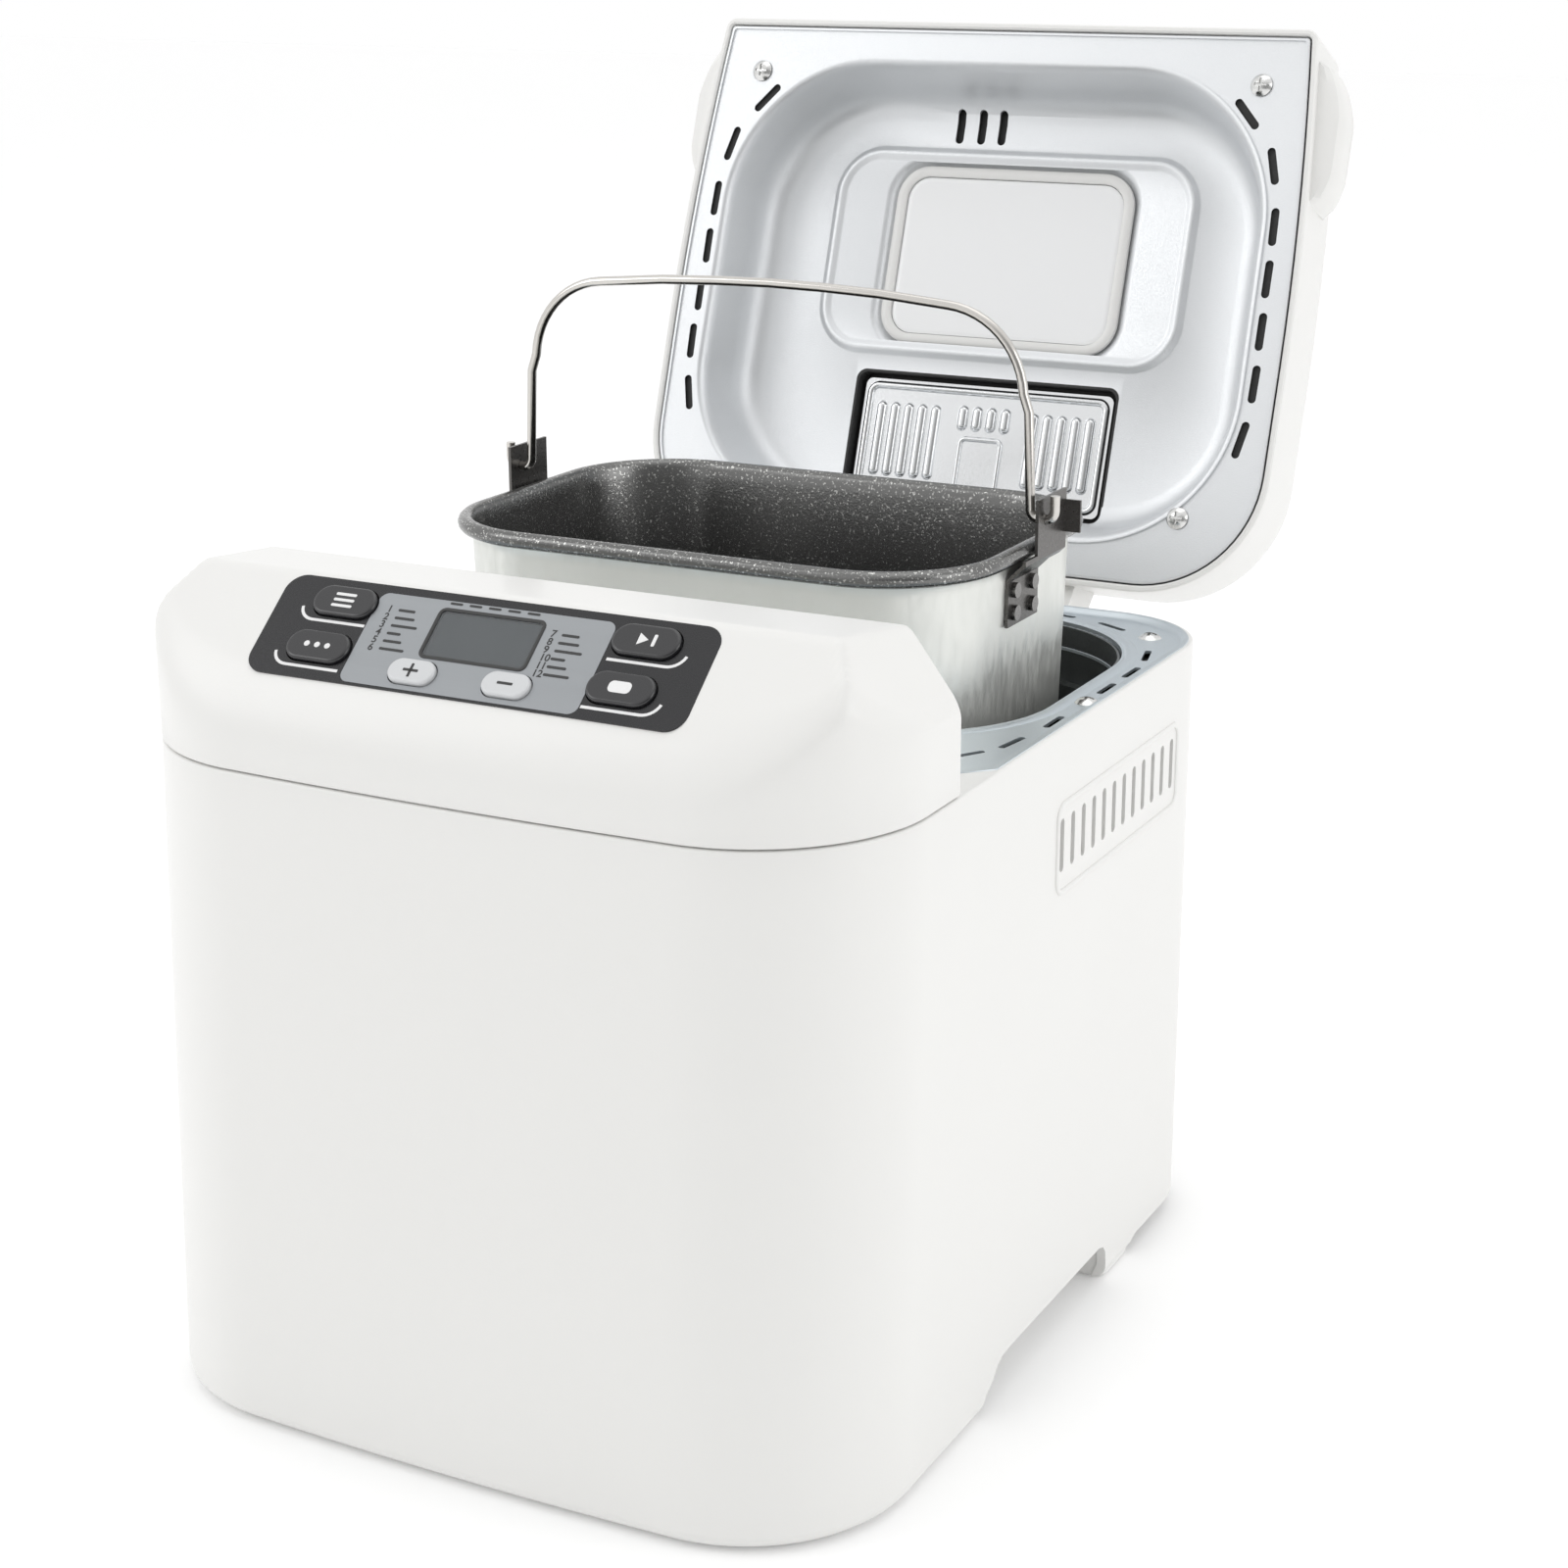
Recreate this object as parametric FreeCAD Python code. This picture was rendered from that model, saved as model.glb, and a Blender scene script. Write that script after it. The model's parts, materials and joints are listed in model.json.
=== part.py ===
import FreeCAD, Part
import math
import os

# Bread machine: a plastic body with a control housing in front, a steel baking chamber, a hinged
# lid, a lift-out baking pan with a bail, a kneading paddle and a belt drive below the chamber.
# Millimetres, +X to the right, +Y to the back, +Z up, floor at z = 0.
# Everything is laid out from the drive shaft's axis (x = 0, y = 0), with the lid open and the pan
# held above the chamber. At export it all shifts forward by ORIGIN_BACK, so that the origin is
# below the middle of the object's box.

V = FreeCAD.Vector
X_AXIS, Y_AXIS, Z_AXIS = V(1, 0, 0), V(0, 1, 0), V(0, 0, 1)

# ---- driving dimensions ----------------------------------------------------------------------
ORIGIN_BACK = 13.9          # middle of the object's box, behind the drive shaft

HALF_WIDTH = 120.0          # body, at the seam
FRONT, REAR = -190.4, 93.5  # body, at the seam
SEAM = 200.0                # top of the lower body
FRONT_CORNER, REAR_CORNER = 51.0, 36.0
FRONT_BOW = 1.6             # how far the front's middle stands ahead of its ends
FRONT_LEAN = 7.6            # the front's foot stands this much further forward
FRONT_BLEND = -40.0         # the leaning front ends here, and the upright rear begins
SKIRT = 1.0                 # underside of the side walls
WALL = 3.0
TOP_WALL = 5.0
ARCH_TOP = 15.0             # side arches
REAR_SKIRT = 6.0            # behind the rear feet the walls end higher
FLOOR_PLATE = (14.0, 17.0)

HOUSING_REAR = -118.5
HOUSING_TOP = 249.2
HOUSING_REAR_TOP = 246.0
HOUSING_WALL = 3.0
PANEL_Y, PANEL_Z, PANEL_TILT = -167.7, 238.4, 40.3
PANEL_HALF = (69.7, 16.8)

DECK_FRONT = -98.6
DECK_RIM = 2.6
DECK_TOP, DECK_SHEET = 198.6, 1.0
MOUTH_HALF, MOUTH_Y, MOUTH_CORNER = (106.0, 75.0), 5.0, 50.0
CHAMBER_FLOOR, CHAMBER_STEP, CHAMBER_TOP, CHAMBER_SHEET = 46.0, 178.0, 197.4, 0.8

PAN_SEAT_RIM, PAN_LIFT = 190.0, 54.5    # top of the rim when seated, and how far it is held up
PAN_RIM_Z = PAN_SEAT_RIM + PAN_LIFT
PAN_HEIGHT = 130.0
PAN_TOP_HALF, PAN_FOOT_HALF = (88.0, 61.5), (84.0, 57.5)
PAN_TOP_CORNER, PAN_FOOT_CORNER = 34.0, 30.0
PAN_WALL, RIM_ROLL = 1.5, 2.6
BAIL_PIVOT_Z, BAIL_RISE, BAIL_WIRE = 250.5, 63.5, 1.5

HINGE_Y, HINGE_Z, LID_OPEN = 102.2, 188.05, 108.83
HINGE_ARM_X, HINGE_ARM_WIDTH = 49.0, 12.0
LID_ZERO, LID_BASE, LID_DEPTH, LID_LENGTH = 85.5, 200.7, 45.0, 197.0
LID_HALF = 120.5
LID_REAR_CORNER, LID_FRONT_CORNER = 42.0, 9.0
WELL_DEPTH = 27.0
LINER_SHEET = 0.8

PLATE_Z = (28.5, 30.0)      # chassis plate
MOTOR_Y = -128.0
PULLEY_Z = (21.0, 27.0)
LARGE_PULLEY, SMALL_PULLEY = 41.0, 7.0
SHAFT = 4.0
COUPLING_TOP = 50.8         # the driven wings run just above this


# ---- helpers ---------------------------------------------------------------------------------
def box(x0, x1, y0, y1, z0, z1):
    return Part.makeBox(x1 - x0, y1 - y0, z1 - z0, V(x0, y0, z0))


def rod(start, end, radius):
    axis = end - start
    return Part.makeCylinder(radius, axis.Length, start, axis)


def post(x, y, z0, z1, radius):
    return rod(V(x, y, z0), V(x, y, z1), radius)


def ring(x, y, z0, z1, outer, inner):
    return post(x, y, z0, z1, outer).cut(post(x, y, z0 - 1, z1 + 1, inner))


def rounded(half_x, half_y, corner, z, x=0.0, y=0.0):
    """A closed rounded rectangle."""
    edges = []
    for quarter in range(4):
        turn = quarter * 90.0
        sx, sy = [(1, 1), (-1, 1), (-1, -1), (1, -1)][quarter]
        centre = V(x + sx * (half_x - corner), y + sy * (half_y - corner), z)
        arc = [centre + V(corner * math.cos(math.radians(turn + a)),
                          corner * math.sin(math.radians(turn + a)), 0) for a in (0, 45, 90)]
        if edges and (arc[0] - end).Length > 1e-6:
            edges.append(Part.makeLine(end, arc[0]))
        edges.append(Part.Arc(*arc).toShape())
        end = arc[2]
        if quarter == 0:
            first = arc[0]
    if (first - end).Length > 1e-6:
        edges.append(Part.makeLine(end, first))
    return Part.Wire(edges)


def slab(wire, height):
    return Part.Face(wire).extrude(V(0, 0, height))


def rounded_block(half_x, half_y, corner, z0, z1, x=0.0, y=0.0):
    return slab(rounded(half_x, half_y, corner, z0, x, y), z1 - z0)


def side_profile(points, x0, x1):
    """A prism along X from (y, z) points."""
    corners = [V(x0, y, z) for y, z in points]
    return Part.Face(Part.makePolygon(corners + corners[:1])).extrude(V(x1 - x0, 0, 0))


def end_profile(points, y0, y1):
    """A prism along Y from (x, z) points."""
    corners = [V(x, y0, z) for x, z in points]
    return Part.Face(Part.makePolygon(corners + corners[:1])).extrude(V(0, y1 - y0, 0))


def slot(x, y, z0, z1, length, width, turn):
    """A round-ended upright slot cutter, turned about Z from the X direction."""
    shape = rounded_block(length / 2, width / 2, width / 2 - 0.001, z0, z1)
    shape.rotate(V(0, 0, 0), Z_AXIS, turn)
    shape.translate(V(x, y, 0))
    return shape


def sweep(points, radius, arcs):
    """A round bar along straight runs joined by tangent arcs of the given radii."""
    edges, start = [], points[0]
    for i in range(1, len(points) - 1):
        a, b, c = points[i - 1], points[i], points[i + 1]
        before, after = (a - b).normalize(), (c - b).normalize()
        turn = math.pi - before.getAngle(after)
        back = arcs[i - 1] * math.tan(turn / 2)
        bisector = (before + after).normalize()
        enter, leave = b + before * back, b + after * back
        middle = b + bisector * (arcs[i - 1] / math.cos(turn / 2) - arcs[i - 1])
        if (enter - start).Length > 1e-6:
            edges.append(Part.makeLine(start, enter))
        edges.append(Part.Arc(enter, middle, leave).toShape())
        start = leave
    edges.append(Part.makeLine(start, points[-1]))
    path = Part.Wire(edges)
    circle = Part.Wire(Part.makeCircle(radius, points[0], points[1] - points[0]))
    return path.makePipeShell([circle], True, False), path.Length


def fuse(shapes):
    result = shapes[0]
    for shape in shapes[1:]:
        result = result.fuse(shape)
    return result.removeSplitter()


def both_sides(maker):
    return [maker(-1), maker(1)]


def export(name, *shapes):
    solids = [solid for shape in shapes for solid in shape.Solids]
    group = Part.makeCompound(solids) if len(solids) > 1 else solids[0].copy()
    group.translate(V(0, -ORIGIN_BACK, 0))
    group.exportStep("parts/" + name + ".step")
    print("%-22s %2d solids %9.1f mm3 valid %s" % (name, len(solids), group.Volume, group.isValid()))


# ---- body casing -----------------------------------------------------------------------------
def body_outline(inset, z, lean=0.0):
    half, front, rear = HALF_WIDTH - inset, FRONT - lean + inset, REAR - inset
    big, small = FRONT_CORNER - inset, REAR_CORNER - inset
    k = math.sqrt(0.5)
    ends = front + FRONT_BOW
    p = [V(-(half - big), ends, z), V(half - big, ends, z), V(half, ends + big, z),
         V(half, rear - small, z), V(half - small, rear, z), V(-(half - small), rear, z),
         V(-half, rear - small, z), V(-half, ends + big, z)]
    return Part.Wire([
        Part.Arc(p[0], V(0, front, z), p[1]).toShape(),
        Part.Arc(p[1], V(half - big + big * k, ends + big - big * k, z), p[2]).toShape(),
        Part.makeLine(p[2], p[3]),
        Part.Arc(p[3], V(half - small + small * k, rear - small + small * k, z), p[4]).toShape(),
        Part.makeLine(p[4], p[5]),
        Part.Arc(p[5], V(-(half - small + small * k), rear - small + small * k, z), p[6]).toShape(),
        Part.makeLine(p[6], p[7]),
        Part.Arc(p[7], V(-(half - big + big * k), ends + big - big * k, z), p[0]).toShape()])


def body_block(inset, z0, z1):
    """The body's form between two heights: upright sides and rear, and a front that leans back."""
    lean0, lean1 = [FRONT_LEAN * (SEAM - z) / SEAM for z in (z0, z1)]
    front = Part.Face(body_outline(inset, z0, lean0)).extrude(V(0, lean0 - lean1, z1 - z0))
    front = front.common(box(-200, 200, -250, FRONT_BLEND, z0, z1))
    rear = slab(body_outline(inset, z0), z1 - z0).common(box(-200, 200, FRONT_BLEND, 200, z0, z1))
    return front.fuse(rear).removeSplitter()


VENTS, VENT_START, VENT_PITCH = 12, -44.4, 8.3
VENT_Z, VENT_HEIGHT, VENT_R = 164.3, 16.5, 1.5
GLAND_X, GLAND_Z = 104.0, 7.0
FOOT_PLACES = [(x, y) for x in (-80.0, 80.0) for y in (-150.0, 60.0)]
DECK_SCREWS = [(side * x, y) for side in (-1, 1) for x, y in ((103.0, 70.0), (113.4, -11.0))]
DECK_SCREW_BORE = 1.6
HINGE_LUGS = [side * (HINGE_ARM_X + offset) for side in (-1, 1) for offset in (-9.1, 9.1)]
LUG_WIDTH, PIN_RADIUS, PIN_CLEARANCE = 5.6, 2.5, 0.06


def vent_cutters():
    """Two rows of upright round-ended slots, one in each side wall."""
    cutters = []
    for side in (-1, 1):
        inner, outer = sorted((side * (HALF_WIDTH - 10), side * (HALF_WIDTH + 10)))
        for number in range(VENTS):
            y = VENT_START + VENT_PITCH * number
            low, high = VENT_Z - VENT_HEIGHT / 2 + VENT_R, VENT_Z + VENT_HEIGHT / 2 - VENT_R
            bar = box(inner, outer, y - VENT_R, y + VENT_R, low, high)
            ends = [rod(V(inner, y, z), V(outer, y, z), VENT_R) for z in (low, high)]
            cutters.append(bar.fuse(ends).removeSplitter())
    return cutters


def body_shell():
    shell = body_block(0, SKIRT, SEAM).cut(body_block(WALL, SKIRT - 1, SEAM - TOP_WALL))
    deck_pocket = slab(body_outline(DECK_RIM, DECK_TOP - DECK_SHEET), 10)
    deck_pocket = deck_pocket.common(box(-200, 200, DECK_FRONT, 200, 150, 250))
    hole = slab(body_outline(13.0, SEAM - TOP_WALL - 1), 20)
    hole = hole.common(box(-200, 200, DECK_FRONT + 8, 200, 150, 250))
    wiring = rounded_block(90, 24, 8, SEAM - TOP_WALL - 1, SEAM + 1, 0, -152)
    shell = shell.cut(deck_pocket).cut(hole).cut(wiring)
    shell = shell.cut(vent_cutters())
    arch = [(-94.5, -5), (-94.5, 3), (-90, 8), (-84, 13), (-76, ARCH_TOP), (-4, ARCH_TOP), (9, -5)]
    rear = [(26, -5), (30, REAR_SKIRT), (130, REAR_SKIRT), (130, -5)]
    shell = shell.cut(side_profile(arch, -130, 130)).cut(side_profile(rear, -130, 130))
    solids = [shell]
    for x, y in DECK_SCREWS:
        if y > 0:
            solids.append(post(x, y, 184, DECK_TOP - DECK_SHEET, 4.5))
    shell = fuse(solids)
    for x, y in DECK_SCREWS:
        shell = shell.cut(post(x, y, 180, 205, DECK_SCREW_BORE))
    return shell


def hinge_lugs():
    """Four upright lugs on the rear wall, two each side, which carry the hinge pins."""
    lugs = []
    for x in HINGE_LUGS:
        outline = [(REAR, HINGE_Z - 16), (REAR + 3, HINGE_Z - 16), (HINGE_Y + 5.5, HINGE_Z - 4),
                   (HINGE_Y + 5.5, HINGE_Z + 4), (HINGE_Y, HINGE_Z + 6), (REAR, HINGE_Z + 6)]
        lug = side_profile(outline, x - LUG_WIDTH / 2, x + LUG_WIDTH / 2)
        lugs.append(lug.cut(rod(V(x - 5, HINGE_Y, HINGE_Z), V(x + 5, HINGE_Y, HINGE_Z), PIN_RADIUS)))
    return lugs


def base_plate():
    plate = slab(body_outline(WALL + 0.5, FLOOR_PLATE[0], FRONT_LEAN * 0.92), 3.0)
    posts = [post(x, y, 4.0, FLOOR_PLATE[0] + 1, 11) for x, y in FOOT_PLACES]
    gland_block = box(GLAND_X - 9, GLAND_X + 9, 20, 26, 1.5, FLOOR_PLATE[0] + 1)
    plate = fuse([plate] + posts + [gland_block])
    for x, y in FOOT_PLACES:
        plate = plate.cut(post(x, y, 3, 9, 3.5))
    for row in range(5):
        plate = plate.cut(slot(0, -150 + 9 * row, 10, 20, 70, 3.2, 0))
    return plate.cut(rod(V(GLAND_X, 19, GLAND_Z), V(GLAND_X, 27, GLAND_Z), 4.6))


def rubber_feet():
    return [post(x, y, 0, 4, 9).fuse(post(x, y, 3.5, 8, 3.5)).removeSplitter() for x, y in FOOT_PLACES]


# ---- control housing -------------------------------------------------------------------------
def panel_place(shape):
    """From the panel's own frame (x right, y up the slope, z outward) to the body's."""
    placed = shape.copy()
    placed.rotate(V(0, 0, 0), X_AXIS, PANEL_TILT)
    placed.translate(V(0, PANEL_Y, PANEL_Z))
    return placed


def housing_block(inset):
    tilt = math.radians(PANEL_TILT)
    slope = math.tan(tilt)
    lower = inset / math.cos(tilt)
    top = HOUSING_TOP - inset
    rear_top = HOUSING_REAR_TOP - inset
    rear = HOUSING_REAR - inset
    start = SEAM - (1 if inset else 0)

    def slope_z(y):
        return PANEL_Z + (y - PANEL_Y) * slope - lower

    crest = PANEL_Y + (top + lower - PANEL_Z) / slope
    profile = side_profile([(-210, start), (-210, slope_z(-210)), (crest, top), (rear, rear_top),
                            (rear, start)], -130, 130)
    chamfer = 19.6 / 14.7
    side = HALF_WIDTH - inset
    high = 260.0
    narrow = side - (high - 226.2 + inset * 0.7) / chamfer
    ends = end_profile([(-side, start), (-side, 226.2 - inset * 0.7), (-narrow, high), (narrow, high),
                        (side, 226.2 - inset * 0.7), (side, start)], -210, -100)
    plan = slab(body_outline(inset, start), 70)
    return profile.common(ends).common(plan)


WIDE_KEYS = {"upper_left": (-47.6, 9.0), "lower_left": (-48.7, -6.5), "upper_right": (48.7, 9.2),
             "lower_right": (47.7, -6.4)}
OVAL_KEYS = {"plus": (-15.9, -10.3), "minus": (14.1, -10.2)}
WIDE_KEY_HALF, OVAL_KEY_HALF = (10.2, 5.0), (7.4, 3.9)
KEY_GAP = 0.35
BOARD_N = (-15.6, -14.0)
SCREEN_HALF, SCREEN_Y = (16.3, 7.6), 3.3
BOARD_SCREWS = [(x, y) for x in (-64.5, 64.5) for y in (-13.0, 13.0)]


def key_places():
    places = [(name, x, y, WIDE_KEY_HALF) for name, (x, y) in WIDE_KEYS.items()]
    return places + [(name, x, y, OVAL_KEY_HALF) for name, (x, y) in OVAL_KEYS.items()]


def key_holes(z0, z1):
    return [rounded_block(half[0] + KEY_GAP, half[1] + KEY_GAP, half[1] + KEY_GAP - 0.01, z0, z1, x, y)
            for name, x, y, half in key_places()]


def control_housing():
    housing = housing_block(0).cut(housing_block(HOUSING_WALL))
    recess = rounded_block(PANEL_HALF[0] + 0.2, PANEL_HALF[1] + 0.2, 6, -0.5, 8)
    screen = rounded_block(SCREEN_HALF[0] + 0.4, SCREEN_HALF[1] + 0.4, 0.8, -8, 1, 0, SCREEN_Y)
    bosses = [panel_place(post(x, y, BOARD_N[1], -2, 3)) for x, y in BOARD_SCREWS]
    housing = fuse([housing] + bosses)
    for cutter in [recess, screen] + key_holes(-8, 1):
        housing = housing.cut(panel_place(cutter))
    for x, y in BOARD_SCREWS:
        housing = housing.cut(panel_place(post(x, y, -17, -8, 1.4)))
    return housing


def control_overlay():
    sheet = rounded_block(PANEL_HALF[0], PANEL_HALF[1], 6, -0.5, 0.1)
    centre = rounded_block(37.9, 15.2, 3, -1, 1, 0, -0.9)
    for cutter in [centre] + key_holes(-1, 1):
        sheet = sheet.cut(cutter)
    return panel_place(sheet)


def overlay_centre():
    sheet = rounded_block(37.8, 15.1, 2.9, -0.5, 0.15, 0, -0.9)
    screen = rounded_block(SCREEN_HALF[0], SCREEN_HALF[1], 0.8, -1, 1, 0, SCREEN_Y)
    for cutter in [screen] + key_holes(-1, 1):
        sheet = sheet.cut(cutter)
    return panel_place(sheet)


def screen_window():
    return panel_place(rounded_block(SCREEN_HALF[0] - 0.05, SCREEN_HALF[1] - 0.05, 0.75, -0.6, 0.05,
                                     0, SCREEN_Y))


def screen_module():
    """The display's glass block on the hollow holder that stands on the board."""
    glass = rounded_block(16.0, 7.3, 0.6, -5.6, -0.7, 0, SCREEN_Y)
    holder = box(-19, 19, SCREEN_Y - 8.5, SCREEN_Y + 9, BOARD_N[1], -5.5)
    holder = holder.cut(box(-16, 16, SCREEN_Y - 6, SCREEN_Y + 6.5, -20, -6.5))
    return panel_place(fuse([glass, holder]))


def control_board():
    board = rounded_block(69, 17, 2, BOARD_N[0], BOARD_N[1])
    for x, y in BOARD_SCREWS:
        board = board.cut(post(x, y, -20, -10, 1.6))
    return panel_place(board)


def tact_switches():
    switches = []
    for name, x, y, half in key_places():
        body = box(x - 3, x + 3, y - 3, y + 3, BOARD_N[1], -10.8)
        if name in OVAL_KEYS:
            body = box(x - 3, x + 3, y - 2.5, y + 2.5, BOARD_N[1], -10.8)
        switches.append(panel_place(body.fuse(post(x, y, -11, -9.95, 1.7)).removeSplitter()))
    return switches


def board_screws():
    screws = []
    for x, y in BOARD_SCREWS:
        screws.append(panel_place(post(x, y, -17.4, BOARD_N[0], 2.8).fuse(
            post(x, y, BOARD_N[0] - 0.2, -8, 1.4)).removeSplitter()))
    return screws


def control_key(x, y, half):
    cap = rounded_block(half[0], half[1], half[1] - 0.01, -4.2, 1.5, x, y)
    edges = [edge for edge in cap.Edges if edge.BoundBox.ZMin > 1.4]
    cap = cap.makeFillet(0.9, edges)
    flange = rounded_block(half[0] + 1.2, half[1] - 0.3, 2, -4.2, -3.2, x, y)
    stem = post(x, y, -9.1, -4.1, 1.8)
    return panel_place(fuse([cap, flange, stem]))


# ---- deck and chamber ------------------------------------------------------------------------
DECK_SLOTS = [(64.8, 85.0, -10), (86.5, 78.0, -28), (110.0, 48.0, -76), (113.0, 27.0, 90),
              (113.0, 6.0, 90), (112.6, -35.0, 90), (110.0, -60.0, 82), (103.0, -77.0, 58)]


def deck_plate():
    low = DECK_TOP - DECK_SHEET
    plate = slab(body_outline(DECK_RIM + 0.3, low), DECK_SHEET)
    plate = plate.common(box(-200, 200, DECK_FRONT + 0.3, 200, 150, 250))
    corner = [(-200, 0), (-8, 0), (0, 8), (0, 200), (-200, 200)]
    for side in (-1, 1):
        points = [V(side * (116.8 + x), DECK_FRONT + 0.3 + y, low - 1) for x, y in corner]
        keep = Part.Face(Part.makePolygon(points + points[:1])).extrude(V(0, 0, 5))
        plate = plate.common(keep.fuse(box(-150 * max(side, 0), 150 * max(-side, 0), -200, 200,
                                           low - 1, low + 4)))
    mouth = rounded_block(MOUTH_HALF[0], MOUTH_HALF[1], MOUTH_CORNER, low - 8, low + 0.5, 0, MOUTH_Y)
    plate = plate.fuse(mouth).removeSplitter()
    plate = plate.cut(rounded_block(MOUTH_HALF[0] - 0.8, MOUTH_HALF[1] - 0.8, MOUTH_CORNER - 0.8,
                                    low - 9, low + 3, 0, MOUTH_Y))
    for x, y, turn in DECK_SLOTS:
        for side in (-1, 1):
            plate = plate.cut(slot(side * x, y, low - 1, low + 3, 13, 2.2, side * turn))
    for x, y in DECK_SCREWS:
        plate = plate.cut(post(x, y, low - 1, low + 3, 1.9))
    return plate


def deck_screws():
    screws = []
    for x, y in DECK_SCREWS:
        head = Part.makeSphere(5.2, V(x, y, DECK_TOP - 3.5))
        head = head.common(box(x - 6, x + 6, y - 6, y + 6, DECK_TOP, DECK_TOP + 4))
        depth = 186 if y > 0 else SEAM - TOP_WALL - 4
        shank = post(x, y, depth, DECK_TOP + 0.5, 1.6)
        cross = fuse([box(x - 2.2, x + 2.2, y - 0.45, y + 0.45, DECK_TOP + 0.7, DECK_TOP + 4),
                      box(x - 0.45, x + 0.45, y - 2.2, y + 2.2, DECK_TOP + 0.7, DECK_TOP + 4)])
        screws.append(head.fuse(shank).removeSplitter().cut(cross))
    return screws


CHAMBER_Y, CHAMBER_HALF = 2.0, (100.0, 71.0)
ELEMENT_Z, ELEMENT_TUBE, ELEMENT_HALF, ELEMENT_Y, ELEMENT_CORNER = 66.0, 3.0, (91.6, 62.4), 1.0, 38.0
SENSOR_Y, SENSOR_Z = 34.0, 112.0


def oven_chamber():
    t = CHAMBER_SHEET
    upper = (MOUTH_HALF[0] - 1.5, MOUTH_HALF[1] - 1.5, MOUTH_CORNER - 1.5)
    lower = (CHAMBER_HALF[0], CHAMBER_HALF[1], 40)
    outside = fuse([rounded_block(upper[0], upper[1], upper[2], CHAMBER_STEP, CHAMBER_TOP, 0, MOUTH_Y),
                    rounded_block(lower[0], lower[1], lower[2], CHAMBER_FLOOR, CHAMBER_STEP + 0.5, 0,
                                  CHAMBER_Y)])
    inside = fuse([rounded_block(upper[0] - t, upper[1] - t, upper[2] - t, CHAMBER_STEP + t,
                                 CHAMBER_TOP + 1, 0, MOUTH_Y),
                   rounded_block(lower[0] - t, lower[1] - t, lower[2] - t, CHAMBER_FLOOR + t,
                                 CHAMBER_STEP + 2, 0, CHAMBER_Y)])
    chamber = outside.cut(inside)
    chamber = chamber.cut(post(0, 0, 40, 50, 11.5))
    for side in (-1, 1):
        chamber = chamber.cut(rod(V(side * 18, -80, ELEMENT_Z), V(side * 18, -60, ELEMENT_Z), 5))
    return chamber.cut(rod(V(90, SENSOR_Y, SENSOR_Z), V(110, SENSOR_Y, SENSOR_Z), 2.6))


def heating_element():
    hx, hy, y = ELEMENT_HALF[0], ELEMENT_HALF[1], ELEMENT_Y
    z = ELEMENT_Z
    points = [V(18, -88, z), V(18, y - hy, z), V(hx, y - hy, z), V(hx, y + hy, z), V(-hx, y + hy, z),
              V(-hx, y - hy, z), V(-18, y - hy, z), V(-18, -88, z)]
    arcs = [6.0] + [ELEMENT_CORNER] * 4 + [6.0]
    solid, length = sweep(points, ELEMENT_TUBE, arcs)
    return solid


def element_insulators():
    wall = CHAMBER_Y - CHAMBER_HALF[1]
    shapes = []
    for side in (-1, 1):
        bead = fuse([rod(V(side * 18, wall - 2.5, ELEMENT_Z), V(side * 18, wall, ELEMENT_Z), 8),
                     rod(V(side * 18, wall - 0.5, ELEMENT_Z), V(side * 18, wall + 0.8, ELEMENT_Z), 5)])
        shapes.append(bead.cut(rod(V(side * 18, -90, ELEMENT_Z), V(side * 18, -60, ELEMENT_Z),
                                   ELEMENT_TUBE)))
    return shapes


def element_clips():
    shapes = []
    top = ELEMENT_Z - ELEMENT_TUBE
    for x in (-45.0, 45.0):
        for y in (ELEMENT_Y + ELEMENT_HALF[1], ELEMENT_Y - ELEMENT_HALF[1]):
            floor = CHAMBER_FLOOR + CHAMBER_SHEET
            clip = box(x - 4, x + 4, y - 0.6, y + 0.6, floor, top + 0.6)
            near, far = (y - 5, y + 0.6) if y > 0 else (y - 0.6, y + 5)
            clip = fuse([clip, box(x - 4, x + 4, near, far, floor, floor + 1)])
            shapes.append(clip.cut(rod(V(x - 5, y, ELEMENT_Z), V(x + 5, y, ELEMENT_Z), ELEMENT_TUBE)))
    return shapes


def temperature_sensor():
    wall = CHAMBER_HALF[0]
    return fuse([rod(V(92.5, SENSOR_Y, SENSOR_Z), V(wall + 5, SENSOR_Y, SENSOR_Z), 2.6),
                 rod(V(wall, SENSOR_Y, SENSOR_Z), V(wall + 1.5, SENSOR_Y, SENSOR_Z), 7)])


def pan_locks():
    floor = CHAMBER_FLOOR + CHAMBER_SHEET
    shapes = []
    for side in (-1, 1):
        points = [(46.2, floor), (60, floor), (60, floor + 1.2), (47.6, floor + 1.2),
                  (47.6, floor + 9), (46.2, floor + 9)]
        shapes.append(end_profile([(side * x, z) for x, z in points], -9, 9))
    return shapes


# ---- chassis and drive -----------------------------------------------------------------------
def chassis():
    low, high = PLATE_Z
    pieces = [box(-96, 96, -172, 84, low, high)]
    for side in (-1, 1):
        edge = side * 95.25
        pieces.append(box(edge - 0.75, edge + 0.75, -140, 40, FLOOR_PLATE[1], high))
        edge = side * 75.0
        pieces.append(box(edge - 0.75, edge + 0.75, -55, 60, low, CHAMBER_FLOOR))
        pieces.append(box(edge - 6, edge + 6, -55, 60, CHAMBER_FLOOR - 1.5, CHAMBER_FLOOR))
    plate = fuse(pieces)
    plate = plate.cut(post(0, 0, 20, 40, 12)).cut(post(0, MOTOR_Y, 20, 40, 9))
    return plate


def bearing_housing():
    low, high = PLATE_Z
    housing = fuse([post(0, 0, low - 0.5, CHAMBER_FLOOR + 1.3, 10), post(0, 0, high, high + 3, 24),
                    box(-3, 3, -22, 22, high, high + 9), box(-22, 22, -3, 3, high, high + 9)])
    return housing.cut(post(0, 0, 20, 60, 7))


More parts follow.
